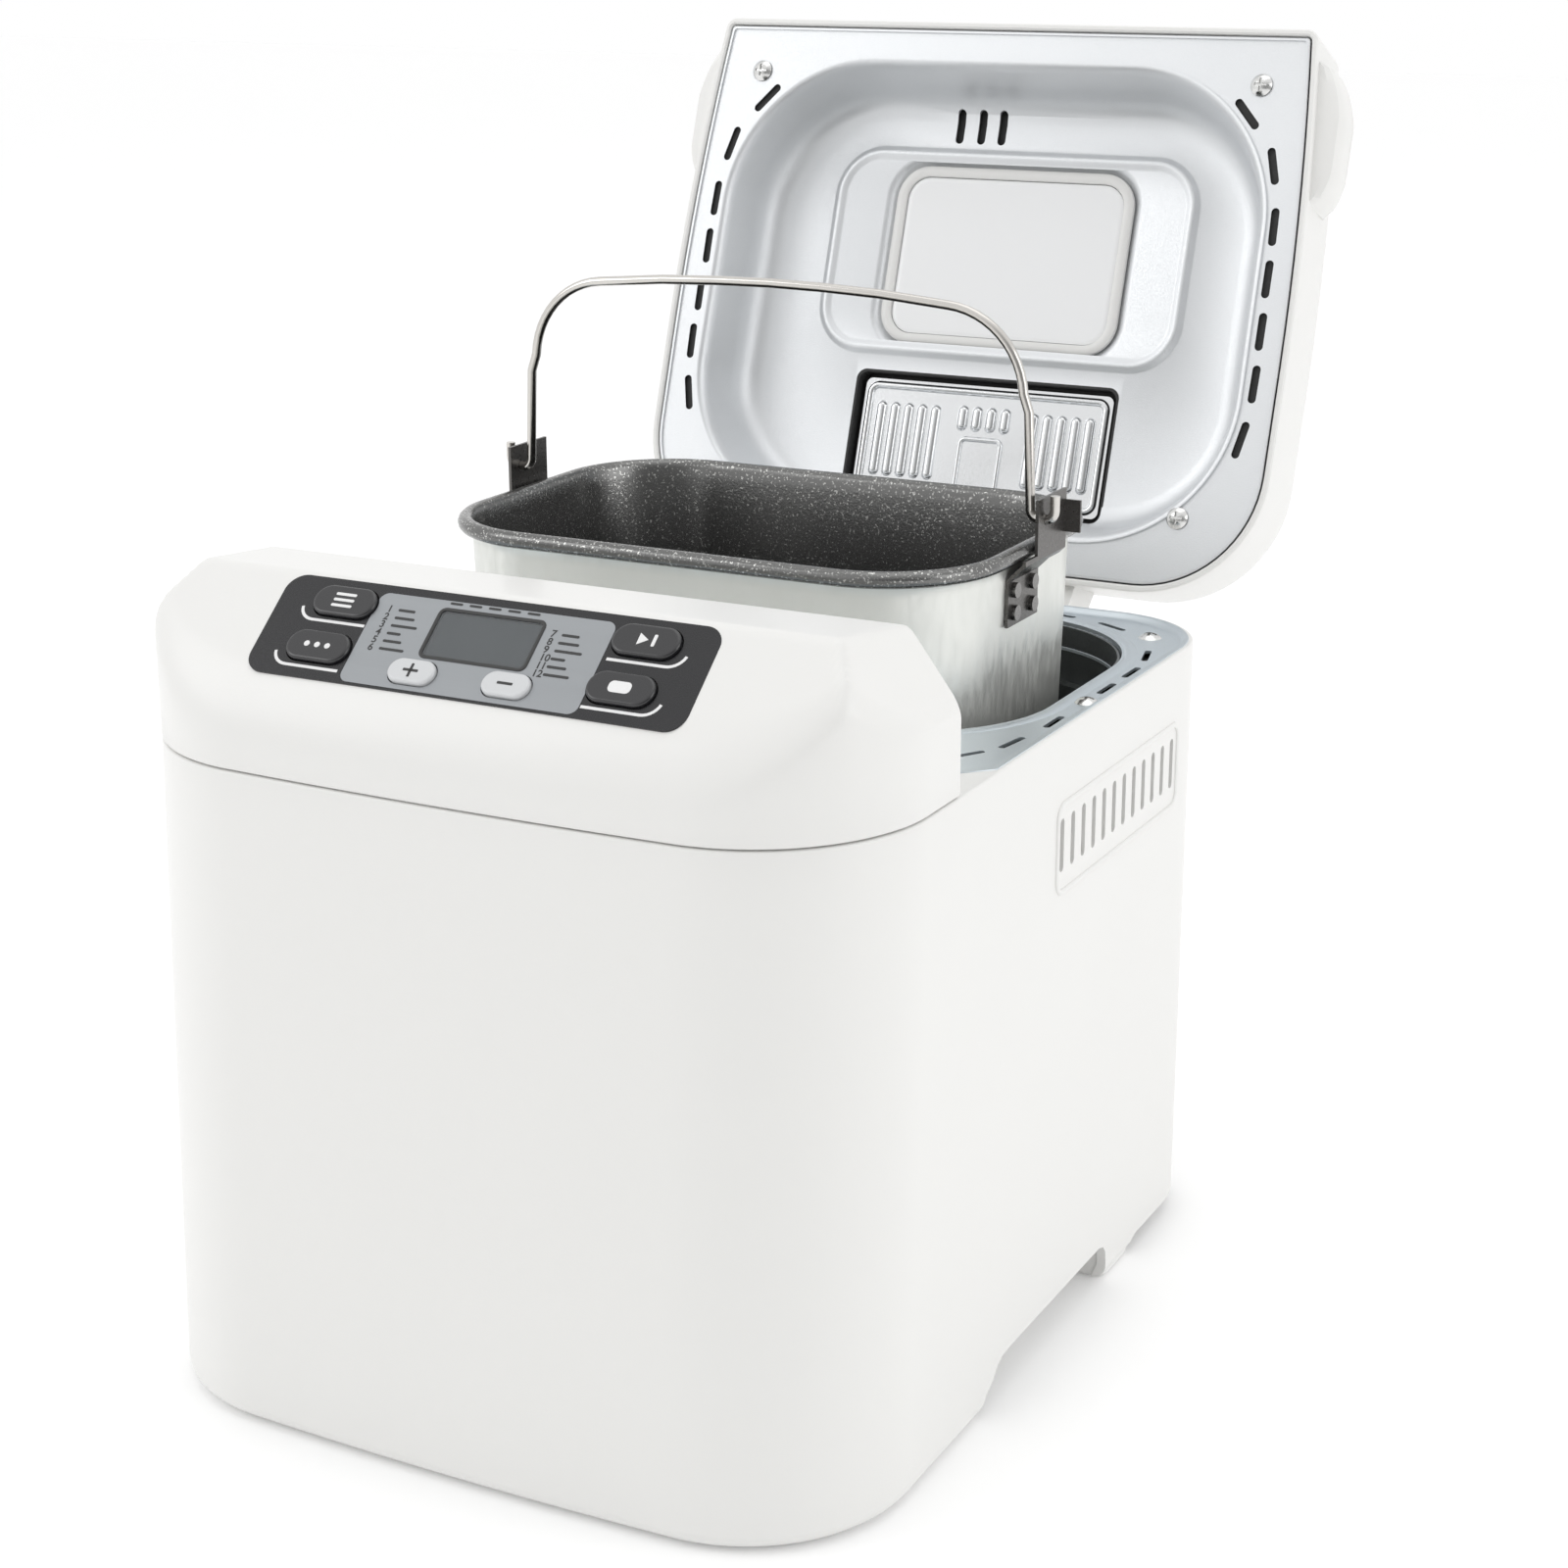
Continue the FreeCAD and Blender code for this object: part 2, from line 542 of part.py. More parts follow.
def shaft_bushes():
    low = PLATE_Z[0] - 0.5
    return [ring(0, 0, low, low + 6, 7, SHAFT + 0.05),
            ring(0, 0, CHAMBER_FLOOR - 4.7, CHAMBER_FLOOR + 1.3, 7, SHAFT + 0.05)]


def drive_shaft():
    shaft = post(0, 0, 18.0, COUPLING_TOP, SHAFT)
    return shaft.cut(ring(0, 0, 19.0, 19.9, SHAFT + 1, SHAFT - 0.7))


def drive_coupling():
    hub = post(0, 0, 48.0, COUPLING_TOP, 16)
    lugs = [box(-3.2, 3.2, y - 2.6, y + 2.6, COUPLING_TOP - 0.3, 57.0) for y in (-11.5, 11.5)]
    return fuse([hub] + lugs).cut(post(0, 0, 40, 60, SHAFT))


def pulley(x, y, pitch, bore):
    low, high = PULLEY_Z
    body = fuse([post(x, y, low, high, pitch - 1.0), post(x, y, low, low + 0.8, pitch + 1.6),
                 post(x, y, high - 0.8, high, pitch + 1.6)])
    return body.cut(post(x, y, low - 5, high + 5, bore))


def large_pulley():
    wheel = pulley(0, 0, LARGE_PULLEY, SHAFT)
    low, high = PULLEY_Z
    for number in range(6):
        hole = post(24, 0, low - 1, high + 1, 8)
        hole.rotate(V(0, 0, 0), Z_AXIS, 60 * number)
        wheel = wheel.cut(hole)
    return wheel


def shaft_clip():
    clip = ring(0, 0, 19.1, 19.8, SHAFT + 2.2, SHAFT - 0.7)
    return clip.cut(box(0, 8, -1.6, 1.6, 18, 21))


def drive_belt():
    """A flat loop round both pulleys, a hair off their faces."""
    big, small = LARGE_PULLEY - 0.8, SMALL_PULLEY - 0.8
    low, high = PULLEY_Z[0] + 1.0, PULLEY_Z[1] - 1.0

    def loop(extra):
        a, b, d = big + extra, small + extra, -MOTOR_Y
        lean = math.asin((a - b) / d)
        c, s = math.cos(lean), math.sin(lean)
        p = [V(a * c, -a * s, low), V(b * c, MOTOR_Y - b * s, low), V(-b * c, MOTOR_Y - b * s, low),
             V(-a * c, -a * s, low)]
        wire = Part.Wire([Part.makeLine(p[0], p[1]),
                          Part.Arc(p[1], V(0, MOTOR_Y - b, low), p[2]).toShape(),
                          Part.makeLine(p[2], p[3]), Part.Arc(p[3], V(0, a, low), p[0]).toShape()])
        return slab(wire, high - low)
    return loop(1.6).cut(loop(0))


MOTOR_BASE, MOTOR_TOP = PLATE_Z[1], 92.0


def motor_bracket():
    foot = box(-36, 36, MOTOR_Y - 36, MOTOR_Y + 36, MOTOR_BASE, MOTOR_BASE + 2)
    posts = [post(x, MOTOR_Y + y, MOTOR_BASE + 1, 42, 4) for x in (-28, 28) for y in (-28, 28)]
    return fuse([foot] + posts).cut(post(0, MOTOR_Y, 20, 60, 3.05))


def motor_stator():
    block = rounded_block(33, 33, 6, 42, 72, 0, MOTOR_Y)
    windings = rounded_block(24, 24, 9, 37, 77, 0, MOTOR_Y)
    return fuse([block, windings]).cut(post(0, MOTOR_Y, 30, 90, 15))


def motor_end_cap():
    cap = fuse([rounded_block(32.5, 12, 5, 79, 82, 0, MOTOR_Y),
                post(-28.5, MOTOR_Y, 72, 80, 3.5), post(28.5, MOTOR_Y, 72, 80, 3.5)])
    return cap.cut(post(0, MOTOR_Y, 70, 90, 3.05))


def motor_rotor():
    return fuse([post(0, MOTOR_Y, 18.5, MOTOR_TOP, 3), post(0, MOTOR_Y, 42, 72, 14.5)])


def small_pulley():
    return pulley(0, MOTOR_Y, SMALL_PULLEY, 3.0)


def motor_fan():
    hub = post(0, MOTOR_Y, 84, 91, 7)
    blades = [hub]
    for number in range(7):
        blade = box(5, 26, -0.7, 0.7, 84.5, 90.5)
        blade.rotate(V(15, 0, 87.5), X_AXIS, 28)
        blade.rotate(V(0, 0, 0), Z_AXIS, 360.0 / 7 * number)
        blade.translate(V(0, MOTOR_Y, 0))
        blades.append(blade)
    return fuse(blades).cut(post(0, MOTOR_Y, 80, 95, 3))


def motor_capacitor():
    return fuse([box(-78, -48, -150, -106, PLATE_Z[1], 56), post(-63, -128, 55, 60, 4)])


BOARD_X = 84.0


def power_board():
    return fuse([box(BOARD_X, BOARD_X + 1.6, -164, -84, 52, 152),
                 box(BOARD_X - 8, BOARD_X + 1.6, -150, -138, PLATE_Z[1], 52.5),
                 box(BOARD_X - 8, BOARD_X + 1.6, -112, -100, PLATE_Z[1], 52.5)])


def board_parts():
    face = BOARD_X
    return [box(face - 30, face, -156, -122, 104, 144),
            box(face - 17, face, -112, -92, 112, 130),
            box(face - 17, face, -112, -92, 86, 104),
            rod(V(face - 24, -148, 78), V(face, -148, 78), 8),
            rod(V(face - 20, -124, 74), V(face, -124, 74), 6)]


# ---- cord inlet ------------------------------------------------------------------------------
def cord_gland():
    """A flanged bush in the base's block."""
    shank = rod(V(GLAND_X, 20, GLAND_Z), V(GLAND_X, 27, GLAND_Z), 4.6)
    flange = rod(V(GLAND_X, 26, GLAND_Z), V(GLAND_X, 28.5, GLAND_Z), 5.9)
    return fuse([shank, flange]).cut(rod(V(GLAND_X, 15, GLAND_Z), V(GLAND_X, 32, GLAND_Z), 3.3))


# ---- lid -------------------------------------------------------------------------------------
# The lid is laid out shut, with w measured up from its rim and v forward from its rear,
# and then turned back about the hinge.
def opened(shape):
    turned = shape.copy()
    turned.rotate(V(0, HINGE_Y, HINGE_Z), X_AXIS, -LID_OPEN)
    return turned


def lid_y(v):
    return LID_ZERO - v


def lid_outline(inset, w, narrow=0.0):
    """The lid's plan: squared in front, with large round corners at the rear."""
    half = LID_HALF - inset - narrow
    front, rear = lid_y(LID_LENGTH) + inset, lid_y(0.5) - inset
    big, small = LID_REAR_CORNER - inset, max(LID_FRONT_CORNER - inset, 2.0)
    z = LID_BASE + w
    k = math.sqrt(0.5)
    edges = []
    corners = [(half, front, small, 1, -1), (half, rear, big, 1, 1), (-half, rear, big, -1, 1),
               (-half, front, small, -1, -1)]
    ends = []
    for x, y, r, sx, sy in corners:
        centre = V(x - sx * r, y - sy * r, z)
        a, b = centre + V(0, sy * r, 0), centre + V(sx * r, 0, 0)
        m = centre + V(sx * r * k, sy * r * k, 0)
        if sx * sy > 0:
            a, b = b, a
        ends.append((a, m, b))
    for number, (a, m, b) in enumerate(ends):
        edges.append(Part.Arc(a, m, b).toShape())
        edges.append(Part.makeLine(b, ends[(number + 1) % 4][0]))
    return Part.Wire(edges)


def lid_block(inset, w0, w1):
    def narrow(w):
        return 3.5 * w / LID_DEPTH
    return Part.makeLoft([lid_outline(inset, w0, narrow(w0)), lid_outline(inset, w1, narrow(w1))],
                         True, True)


WINDOW_HALF, WINDOW_V = (43.2, 29.6), 118.0
VENT_HALF, VENT_V, VENT_HOOK_X = (51.8, 24.6), 49.3, 45.5
LID_SCREWS = [(side * u, v) for side in (-1, 1) for u, v in ((96.5, 177.5), (89.5, 27.5))]
LINER_SLOTS = [(92.8, 167.5, 48), (104.8, 150.0, 75), (108.2, 129.3, 90), (108.7, 111.4, 90),
               (109.2, 93.4, 90), (109.6, 75.4, 90), (107.7, 56.1, 102)]
PAN_SLOTS = [-24.8, -16.2, -8.1]
WELL_HALF, WELL_V, WELL_CORNER = (103.5, 81.5), 99.5, 52.0


def lid_shell():
    shell = lid_block(0, 0, LID_DEPTH)
    top_edges = [edge for edge in shell.Edges if edge.BoundBox.ZMin > LID_BASE + LID_DEPTH - 0.1]
    shell = shell.makeFillet(7.0, top_edges)
    shell = shell.cut(lid_block(2.6, -1, LID_DEPTH - 3))
    y0, y1 = lid_y(187), lid_y(141)
    grips = [rounded_block(4.2, (y1 - y0) / 2, 3.5, LID_BASE + 8, LID_BASE + 32, side * 121.3,
                           (y0 + y1) / 2) for side in (-1, 1)]
    towers = [ring(u, lid_y(v), LID_BASE + LINER_SHEET + 0.4, LID_BASE + LID_DEPTH - 2, 4.5, 1.7)
              for u, v in LID_SCREWS]
    shell = fuse([shell] + grips + towers)
    shell = shell.cut(lid_block(2.6, -1, 1.25))
    window = rounded_block(WINDOW_HALF[0] + 3, WINDOW_HALF[1] + 3, 10, LID_BASE + 30,
                           LID_BASE + LID_DEPTH + 1, 0, lid_y(WINDOW_V))
    shell = shell.cut(window)
    for number in range(9):
        shell = shell.cut(slot(-32 + 8 * number, lid_y(VENT_V), LID_BASE + 30,
                               LID_BASE + LID_DEPTH + 1, 26, 2.6, 90))
    for u, v in LID_SCREWS:
        shell = shell.cut(post(u, lid_y(v), LID_BASE, LID_BASE + 20, 1.7))
    return opened(shell)


def lid_arms():
    """Two arms from the lid's rear wall down to the hinge pins."""
    arms = []
    for side in (-1, 1):
        x = side * HINGE_ARM_X
        outline = [(lid_y(1.5), LID_BASE + 6), (lid_y(1.5), LID_BASE + 24),
                   (HINGE_Y - 2, LID_BASE + 12), (HINGE_Y + 6, HINGE_Z + 8),
                   (HINGE_Y + 6, HINGE_Z - 3), (HINGE_Y + 2, HINGE_Z - 6),
                   (HINGE_Y - 5, HINGE_Z - 4), (HINGE_Y - 5.6, HINGE_Z + 5.4),
                   (HINGE_Y - 7.2, LID_BASE + 4)]
        arm = side_profile(outline, x - HINGE_ARM_WIDTH / 2, x + HINGE_ARM_WIDTH / 2)
        bore = rod(V(x - 15, HINGE_Y, HINGE_Z), V(x + 15, HINGE_Y, HINGE_Z),
                   PIN_RADIUS + PIN_CLEARANCE)
        arms.append(opened(arm.cut(bore).cut(lid_block(0, 0, LID_DEPTH))))
    return arms


def lid_liner():
    w0 = 0.4
    flange = slab(lid_outline(3.0, w0), LINER_SHEET)
    t = LINER_SHEET
    y = lid_y(WELL_V)

    def cup(inset, z0, z1):
        return Part.makeLoft([rounded(WELL_HALF[0] - inset, WELL_HALF[1] - inset,
                                      WELL_CORNER - inset, LID_BASE + z0, 0, y),
                              rounded(WELL_HALF[0] - inset - 5, WELL_HALF[1] - inset - 5,
                                      WELL_CORNER - inset - 5, LID_BASE + z1, 0, y)], True, True)
    liner = fuse([flange, cup(0, w0, WELL_DEPTH)]).cut(cup(t, w0 - 0.2, WELL_DEPTH - t))
    low = LID_BASE + w0 - 1
    high = LID_BASE + WELL_DEPTH + 2
    liner = liner.cut(rounded_block(WINDOW_HALF[0], WINDOW_HALF[1], 8, high - 8, high, 0,
                                    lid_y(WINDOW_V)))
    liner = liner.cut(rounded_block(VENT_HALF[0], VENT_HALF[1], 3, high - 8, high, 0, lid_y(VENT_V)))
    for u, v, turn in LINER_SLOTS:
        for side in (-1, 1):
            liner = liner.cut(slot(side * u, lid_y(v), low, low + 4, 12, 2.0, side * turn))
    for u in PAN_SLOTS:
        liner = liner.cut(slot(u, lid_y(165.8), high - 8, high, 12.5, 3.2, 90))
    for u, v in LID_SCREWS:
        liner = liner.cut(post(u, lid_y(v), low, low + 4, 1.9))
    return opened(liner)


def inner_window():
    w = LID_BASE + WELL_DEPTH
    return opened(rounded_block(WINDOW_HALF[0] + 5, WINDOW_HALF[1] + 5, 10, w, w + 3, 0,
                                lid_y(WINDOW_V)))


def window_gasket():
    w = LID_BASE + WELL_DEPTH + 3
    outer = rounded_block(WINDOW_HALF[0] + 5, WINDOW_HALF[1] + 5, 10, w, w + 12, 0, lid_y(WINDOW_V))
    return opened(outer.cut(rounded_block(WINDOW_HALF[0] + 1, WINDOW_HALF[1] + 1, 8, w - 1, w + 14,
                                          0, lid_y(WINDOW_V))))


def outer_window():
    w = LID_BASE + LID_DEPTH
    return opened(rounded_block(WINDOW_HALF[0] + 2.9, WINDOW_HALF[1] + 2.9, 9.9, w - 3.0, w - 0.2, 0,
                                lid_y(WINDOW_V)))


def vent_cover():
    w = LID_BASE + WELL_DEPTH
    y = lid_y(VENT_V)
    plate = rounded_block(VENT_HALF[0] - 3, VENT_HALF[1] - 3, 4, w - 4, w - 2.8, 0, y)
    hooks = [box(x - 3, x + 3, y - 5, y + 5, w - 3, w + 4) for x in (-VENT_HOOK_X, VENT_HOOK_X)]
    plate = fuse([plate] + hooks)
    for side in (-1, 1):
        for number in range(5):
            plate = plate.cut(slot(side * (18 + 5.6 * number), y, w - 6, w, 28, 2.2, 90))
    for number in range(4):
        plate = plate.cut(slot(-8.4 + 5.6 * number, y + 10, w - 6, w, 9, 2.2, 90))
    return opened(plate)


def vent_duct():
    """A low frame that holds the vent cover against the liner's back."""
    w = LID_BASE + WELL_DEPTH
    y = lid_y(VENT_V)
    frame = rounded_block(VENT_HALF[0] + 4, VENT_HALF[1] + 4, 5, w, w + 6, 0, y)
    frame = frame.cut(rounded_block(VENT_HALF[0] - 6, VENT_HALF[1] - 6, 3, w - 1, w + 7, 0, y))
    sockets = [box(x - 3, x + 3, y - 5, y + 5, w - 1, w + 4) for x in (-VENT_HOOK_X, VENT_HOOK_X)]
    return opened(frame.cut(sockets))


def lid_screws():
    screws = []
    for u, v in LID_SCREWS:
        y = lid_y(v)
        top = LID_BASE + 0.4
        head = Part.makeSphere(5.2, V(u, y, top + 3.5))
        head = head.common(box(u - 6, u + 6, y - 6, y + 6, top - 4, top))
        shank = post(u, y, top - 0.5, LID_BASE + 14, 1.7)
        cross = fuse([box(u - 2.2, u + 2.2, y - 0.45, y + 0.45, top - 4, top - 0.7),
                      box(u - 0.45, u + 0.45, y - 2.2, y + 2.2, top - 4, top - 0.7)])
        screws.append(opened(head.fuse(shank).removeSplitter().cut(cross)))
    return screws


def hinge_pins():
    return both_sides(lambda side: rod(V(side * 36.5, HINGE_Y, HINGE_Z),
                                       V(side * 61.5, HINGE_Y, HINGE_Z), 2.5))


# ---- pan, bail and paddle --------------------------------------------------------------------
PAN_BOTTOM = PAN_RIM_Z - PAN_HEIGHT
EAR_X = 93.2


def pan_half(z, inset=0.0):
    share = (z - PAN_BOTTOM) / PAN_HEIGHT
    return [low + (high - low) * share - inset for low, high in
            zip(PAN_FOOT_HALF + (PAN_FOOT_CORNER,), PAN_TOP_HALF + (PAN_TOP_CORNER,))]


def pan_block(inset, z0, z1):
    wires = []
    for z in (z0, z1):
        hx, hy, corner = pan_half(z, inset)
        wires.append(rounded(hx, hy, corner, z))
    return Part.makeLoft(wires, True, True)


def pan_shell():
    top = PAN_RIM_Z - RIM_ROLL
    walls = pan_block(0, PAN_BOTTOM, top).cut(pan_block(PAN_WALL, PAN_BOTTOM + PAN_WALL, top + 3))
    hx, hy, corner = pan_half(PAN_RIM_Z, -1.9)
    path = rounded(hx, hy, corner, top)
    start = path.OrderedVertexes[0].Point
    circle = Part.Wire(Part.makeCircle(RIM_ROLL, start, Y_AXIS))
    roll = path.makePipeShell([circle], True, False)
    shell = walls.fuse(roll).removeSplitter()
    return shell.cut(post(0, 0, PAN_BOTTOM - 1, PAN_BOTTOM + 3, 8))


BASE_RING_OUT, BASE_RING_IN, BASE_RING_DROP = 45.0, 42.0, 11.0


def pan_base():
    """The die-cast ring below the pan, and the spider in it that bears the paddle's shaft."""
    z = PAN_BOTTOM
    outer = ring(0, 0, z - BASE_RING_DROP, z, BASE_RING_OUT, BASE_RING_IN)
    reach = BASE_RING_OUT - 1
    spokes = [box(-reach, reach, -3, 3, z - 2, z), box(-3, 3, -reach, reach, z - 2, z)]
    boss = post(0, 0, z - 2.5, z + 9, 8)
    spider = fuse(spokes + [boss]).cut(post(0, 0, z - 20, z + 20, SHAFT + 0.05)).cut(outer)
    return [outer, spider]


def pan_ears():
    ears = []
    for side in (-1, 1):
        low_x = pan_half(234)[0]
        profile = [(low_x, 219.5), (low_x, 234), (EAR_X, 239.5), (EAR_X, 257.5), (EAR_X + 1.0, 257.5),
                   (EAR_X + 1.0, 239), (low_x + 1.0, 233.5), (low_x + 1.0, 219.5)]
        plate = end_profile([(side * x, z) for x, z in profile], -15, 16)
        plate = plate.cut(box(-130, 130, 8, 30, 210, 237)).cut(box(-130, 130, -30, -6, 240.5, 270))
        inner, outer = sorted((side * EAR_X, side * (EAR_X + 6)))
        tab = box(inner, outer, 15, 16, 244, 254)
        plate = fuse([plate, tab])
        ears.append(plate.cut(rod(V(side * 80, 0, BAIL_PIVOT_Z), V(side * 110, 0, BAIL_PIVOT_Z),
                                  BAIL_WIRE + 0.1)))
    return ears


EAR_RIVETS = [(y, z) for y in (-10.5, 3.0) for z in (223.5, 230.5)]


def ear_rivets():
    rivets = []
    for side in (-1, 1):
        for y, z in EAR_RIVETS:
            face = side * (pan_half(234)[0] + 1.0)
            rivets.append(rod(V(face, y, z), V(face + side * 1.4, y, z), 2.4))
    return rivets


def bail_handle():
    z0, top = BAIL_PIVOT_Z, BAIL_PIVOT_Z + BAIL_RISE
    leg, shoulder = 89.0, 86.0
    points = [V(-97.0, 0, z0 + 7.5), V(-97.0, 0, z0), V(-leg, 0, z0), V(-shoulder, 0, top - 4),
              V(0, 0, top + 2.5), V(shoulder, 0, top - 4), V(leg, 0, z0), V(97.0, 0, z0),
              V(97.0, 0, z0 + 7.5)]
    arcs = [3.0, 3.0, 26.0, 400.0, 26.0, 3.0, 3.0]
    solid, length = sweep(points, BAIL_WIRE, arcs)
    return solid


def paddle_shaft():
    shaft = post(0, 0, PAN_BOTTOM - 8.6, PAN_BOTTOM + 26, SHAFT)
    flat = box(SHAFT - 1.0, SHAFT + 2, -6, 6, PAN_BOTTOM + 11.3, PAN_BOTTOM + 30)
    return shaft.cut(flat)


def wing_coupling():
    z0, z1 = PAN_BOTTOM - 8.6, PAN_BOTTOM - 3.4
    wings = fuse([post(0, 0, z0, z1, 7.5), box(-14.5, 14.5, -2.8, 2.8, z0, z1)])
    return wings.cut(post(0, 0, z0 - 2, z1 + 2, SHAFT))


def kneading_paddle():
    """A hub that drops on the shaft's flat, and one raked blade."""
    z = PAN_BOTTOM + 11.5
    hub = Part.makeCone(11, 8.5, 22, V(0, 0, z))
    outline = [V(4, 0, z + 0.5), V(46, 0, z + 0.5), V(49, 0, z + 6), V(38, 0, z + 25),
               V(20, 0, z + 33), V(4, 0, z + 21)]
    blade = Part.Face(Part.makePolygon(outline + outline[:1])).extrude(V(0, 3.4, 0))
    blade.translate(V(0, -1.7, 0))
    heel = box(-22, -4, -2, 2, z + 0.5, z + 9)
    bore = post(0, 0, z - 1, z + 16, SHAFT)
    bore = bore.cut(box(SHAFT - 1.0, SHAFT + 2, -6, 6, z - 2, z + 18))
    return fuse([hub, blade, heel]).cut(bore)


# ---- write the parts -------------------------------------------------------------------------
os.makedirs("parts", exist_ok=True)

export("body_shell", body_shell())
export("hinge_lugs", *hinge_lugs())
export("base_plate", base_plate())
export("rubber_feet", *rubber_feet())
export("control_housing", control_housing())
export("control_overlay", control_overlay())
export("overlay_centre", overlay_centre())
export("screen_window", screen_window())
export("screen_module", screen_module())
export("control_board", control_board())
export("tact_switches", *tact_switches())
for key_name, key_x, key_y, key_half in key_places():
    export("key_" + key_name, control_key(key_x, key_y, key_half))
export("deck_plate", deck_plate())
export("casing_screws", *board_screws(), *deck_screws())
export("oven_chamber", oven_chamber())
export("heating_element", heating_element())
export("element_insulators", *element_insulators())
export("element_clips", *element_clips())
export("temperature_sensor", temperature_sensor())
export("pan_locks", *pan_locks())
export("chassis", chassis())
export("bearing_housing", bearing_housing())
export("shaft_bushes", *shaft_bushes())
export("drive_shaft", drive_shaft())
export("drive_coupling", drive_coupling())
export("large_pulley", large_pulley())
export("shaft_clip", shaft_clip())
export("drive_belt", drive_belt())
export("motor_bracket", motor_bracket())
export("motor_stator", motor_stator())
export("motor_end_cap", motor_end_cap())
export("motor_rotor", motor_rotor())
export("small_pulley", small_pulley())
export("motor_fan", motor_fan())
export("motor_capacitor", motor_capacitor())
export("power_board", power_board())
export("board_parts", *board_parts())
export("hinge_pins", *hinge_pins())
export("cord_gland", cord_gland())
export("lid_shell", lid_shell())
export("lid_arms", *lid_arms())
export("lid_liner", lid_liner())
export("lid_windows", inner_window(), outer_window())
export("window_gasket", window_gasket())
export("vent_cover", vent_cover())
export("vent_duct", vent_duct())
export("lid_screws", *lid_screws())
export("pan_shell", pan_shell())
export("pan_base", *pan_base())
export("pan_ears", *pan_ears())
export("ear_rivets", *ear_rivets())
export("bail_handle", bail_handle())
export("paddle_shaft", paddle_shaft())
export("wing_coupling", wing_coupling())
export("kneading_paddle", kneading_paddle())
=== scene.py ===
import json
import math

import bmesh
import bpy
from mathutils import Matrix, Vector


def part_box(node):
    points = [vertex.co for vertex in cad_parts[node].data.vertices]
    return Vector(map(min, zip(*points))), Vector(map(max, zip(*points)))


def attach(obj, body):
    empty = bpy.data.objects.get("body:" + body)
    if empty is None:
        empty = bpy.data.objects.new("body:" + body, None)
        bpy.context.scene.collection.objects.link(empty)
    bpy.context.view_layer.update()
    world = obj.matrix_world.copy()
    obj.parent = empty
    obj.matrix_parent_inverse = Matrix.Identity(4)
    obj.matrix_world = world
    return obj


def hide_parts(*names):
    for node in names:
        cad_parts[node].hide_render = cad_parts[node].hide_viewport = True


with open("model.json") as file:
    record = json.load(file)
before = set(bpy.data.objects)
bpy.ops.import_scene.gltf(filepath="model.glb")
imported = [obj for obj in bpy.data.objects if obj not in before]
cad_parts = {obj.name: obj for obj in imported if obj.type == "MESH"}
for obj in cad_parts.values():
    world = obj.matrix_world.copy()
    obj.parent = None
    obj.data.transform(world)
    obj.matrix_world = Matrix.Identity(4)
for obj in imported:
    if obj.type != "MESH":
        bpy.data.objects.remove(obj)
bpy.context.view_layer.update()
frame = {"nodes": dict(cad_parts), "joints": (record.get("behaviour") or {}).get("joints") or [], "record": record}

# Shapes are laid out in millimetres about the drive shaft's axis, as the frame is, and scaled to
# metres when a piece is made. Lid shapes are laid out shut and turned back about the hinge.

# ---- places from the frame -------------------------------------------------------------------
MM = 0.001
JOINT = {joint["name"]: joint for joint in frame["joints"]}
SHAFT_LOW, SHAFT_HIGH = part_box("drive_shaft")
SHAFT_Y = (SHAFT_LOW.y + SHAFT_HIGH.y) / 2
LAYOUT = Matrix.Translation((0, SHAFT_Y, 0)) @ Matrix.Scale(MM, 4)
HINGE = Vector(JOINT["lid_hinge"]["pos_m"])
LID_TURN = math.radians(JOINT["lid_hinge"]["range_deg"][1])
OPENED = (Matrix.Translation(HINGE) @ Matrix.Rotation(-LID_TURN, 4, "X") @ Matrix.Translation(-HINGE)
          @ LAYOUT)
PANEL_NORMAL = Vector(JOINT["press_plus"]["axis"])
PANEL_TILT = math.atan2(-PANEL_NORMAL.y, PANEL_NORMAL.z)
PANEL_Y, PANEL_Z = -167.7, 238.4
PANEL = LAYOUT @ Matrix.Translation((0, PANEL_Y, PANEL_Z)) @ Matrix.Rotation(PANEL_TILT, 4, "X")

# ---- shape dimensions, mm --------------------------------------------------------------------
RING_STEPS = 24
HALF, FRONT, REAR, SEAM = 120.0, -190.4, 93.5, 200.0
FRONT_CORNER, REAR_CORNER, FRONT_BOW, FRONT_LEAN = 51.0, 36.0, 1.6, 7.6
SKIRT, WALL, FOOT_ROUND, SEAM_ROUND = 1.0, 3.0, 5.0, 0.7
HOUSING_REAR, CREST_TOP, REAR_TOP = -118.5, 250.2, 246.2
CHAMFER_Z, CHAMFER_SLOPE = 226.2, 19.6 / 14.7
FRONT_ROUND, REAR_ROUND = 13.0, 1.6
DECK_FRONT, DECK_RIM, DECK_Z = -98.6, 2.6, 198.6
MOUTH = (106.0, 75.0, 50.0, 5.0)
LID_ZERO, LID_BASE, LID_DEPTH, LID_LENGTH = 85.5, 200.7, 45.0, 197.0
LID_HALF, LID_REAR_CORNER, LID_FRONT_CORNER, LID_ROUND = 120.5, 44.0, 4.0, 11.0
WELL = (103.5, 81.5, 52.0, 99.5)
PAN_RIM_Z, PAN_HEIGHT, PAN_WALL, ROLL = 244.5, 130.0, 1.5, 2.6
PAN_TOP, PAN_FOOT = (88.0, 61.5, 34.0), (84.0, 57.5, 30.0)
BAIL_Z, BAIL_TOP, BAIL_WIRE = 250.5, 314.0, 1.5

# ---- camera ----------------------------------------------------------------------------------
AZIMUTH, ELEVATION, ROLL_ANGLE, DISTANCE = 27.877, 17.341, 0.231, 877.624
AIM = (24.418, -44.13, 172.573)


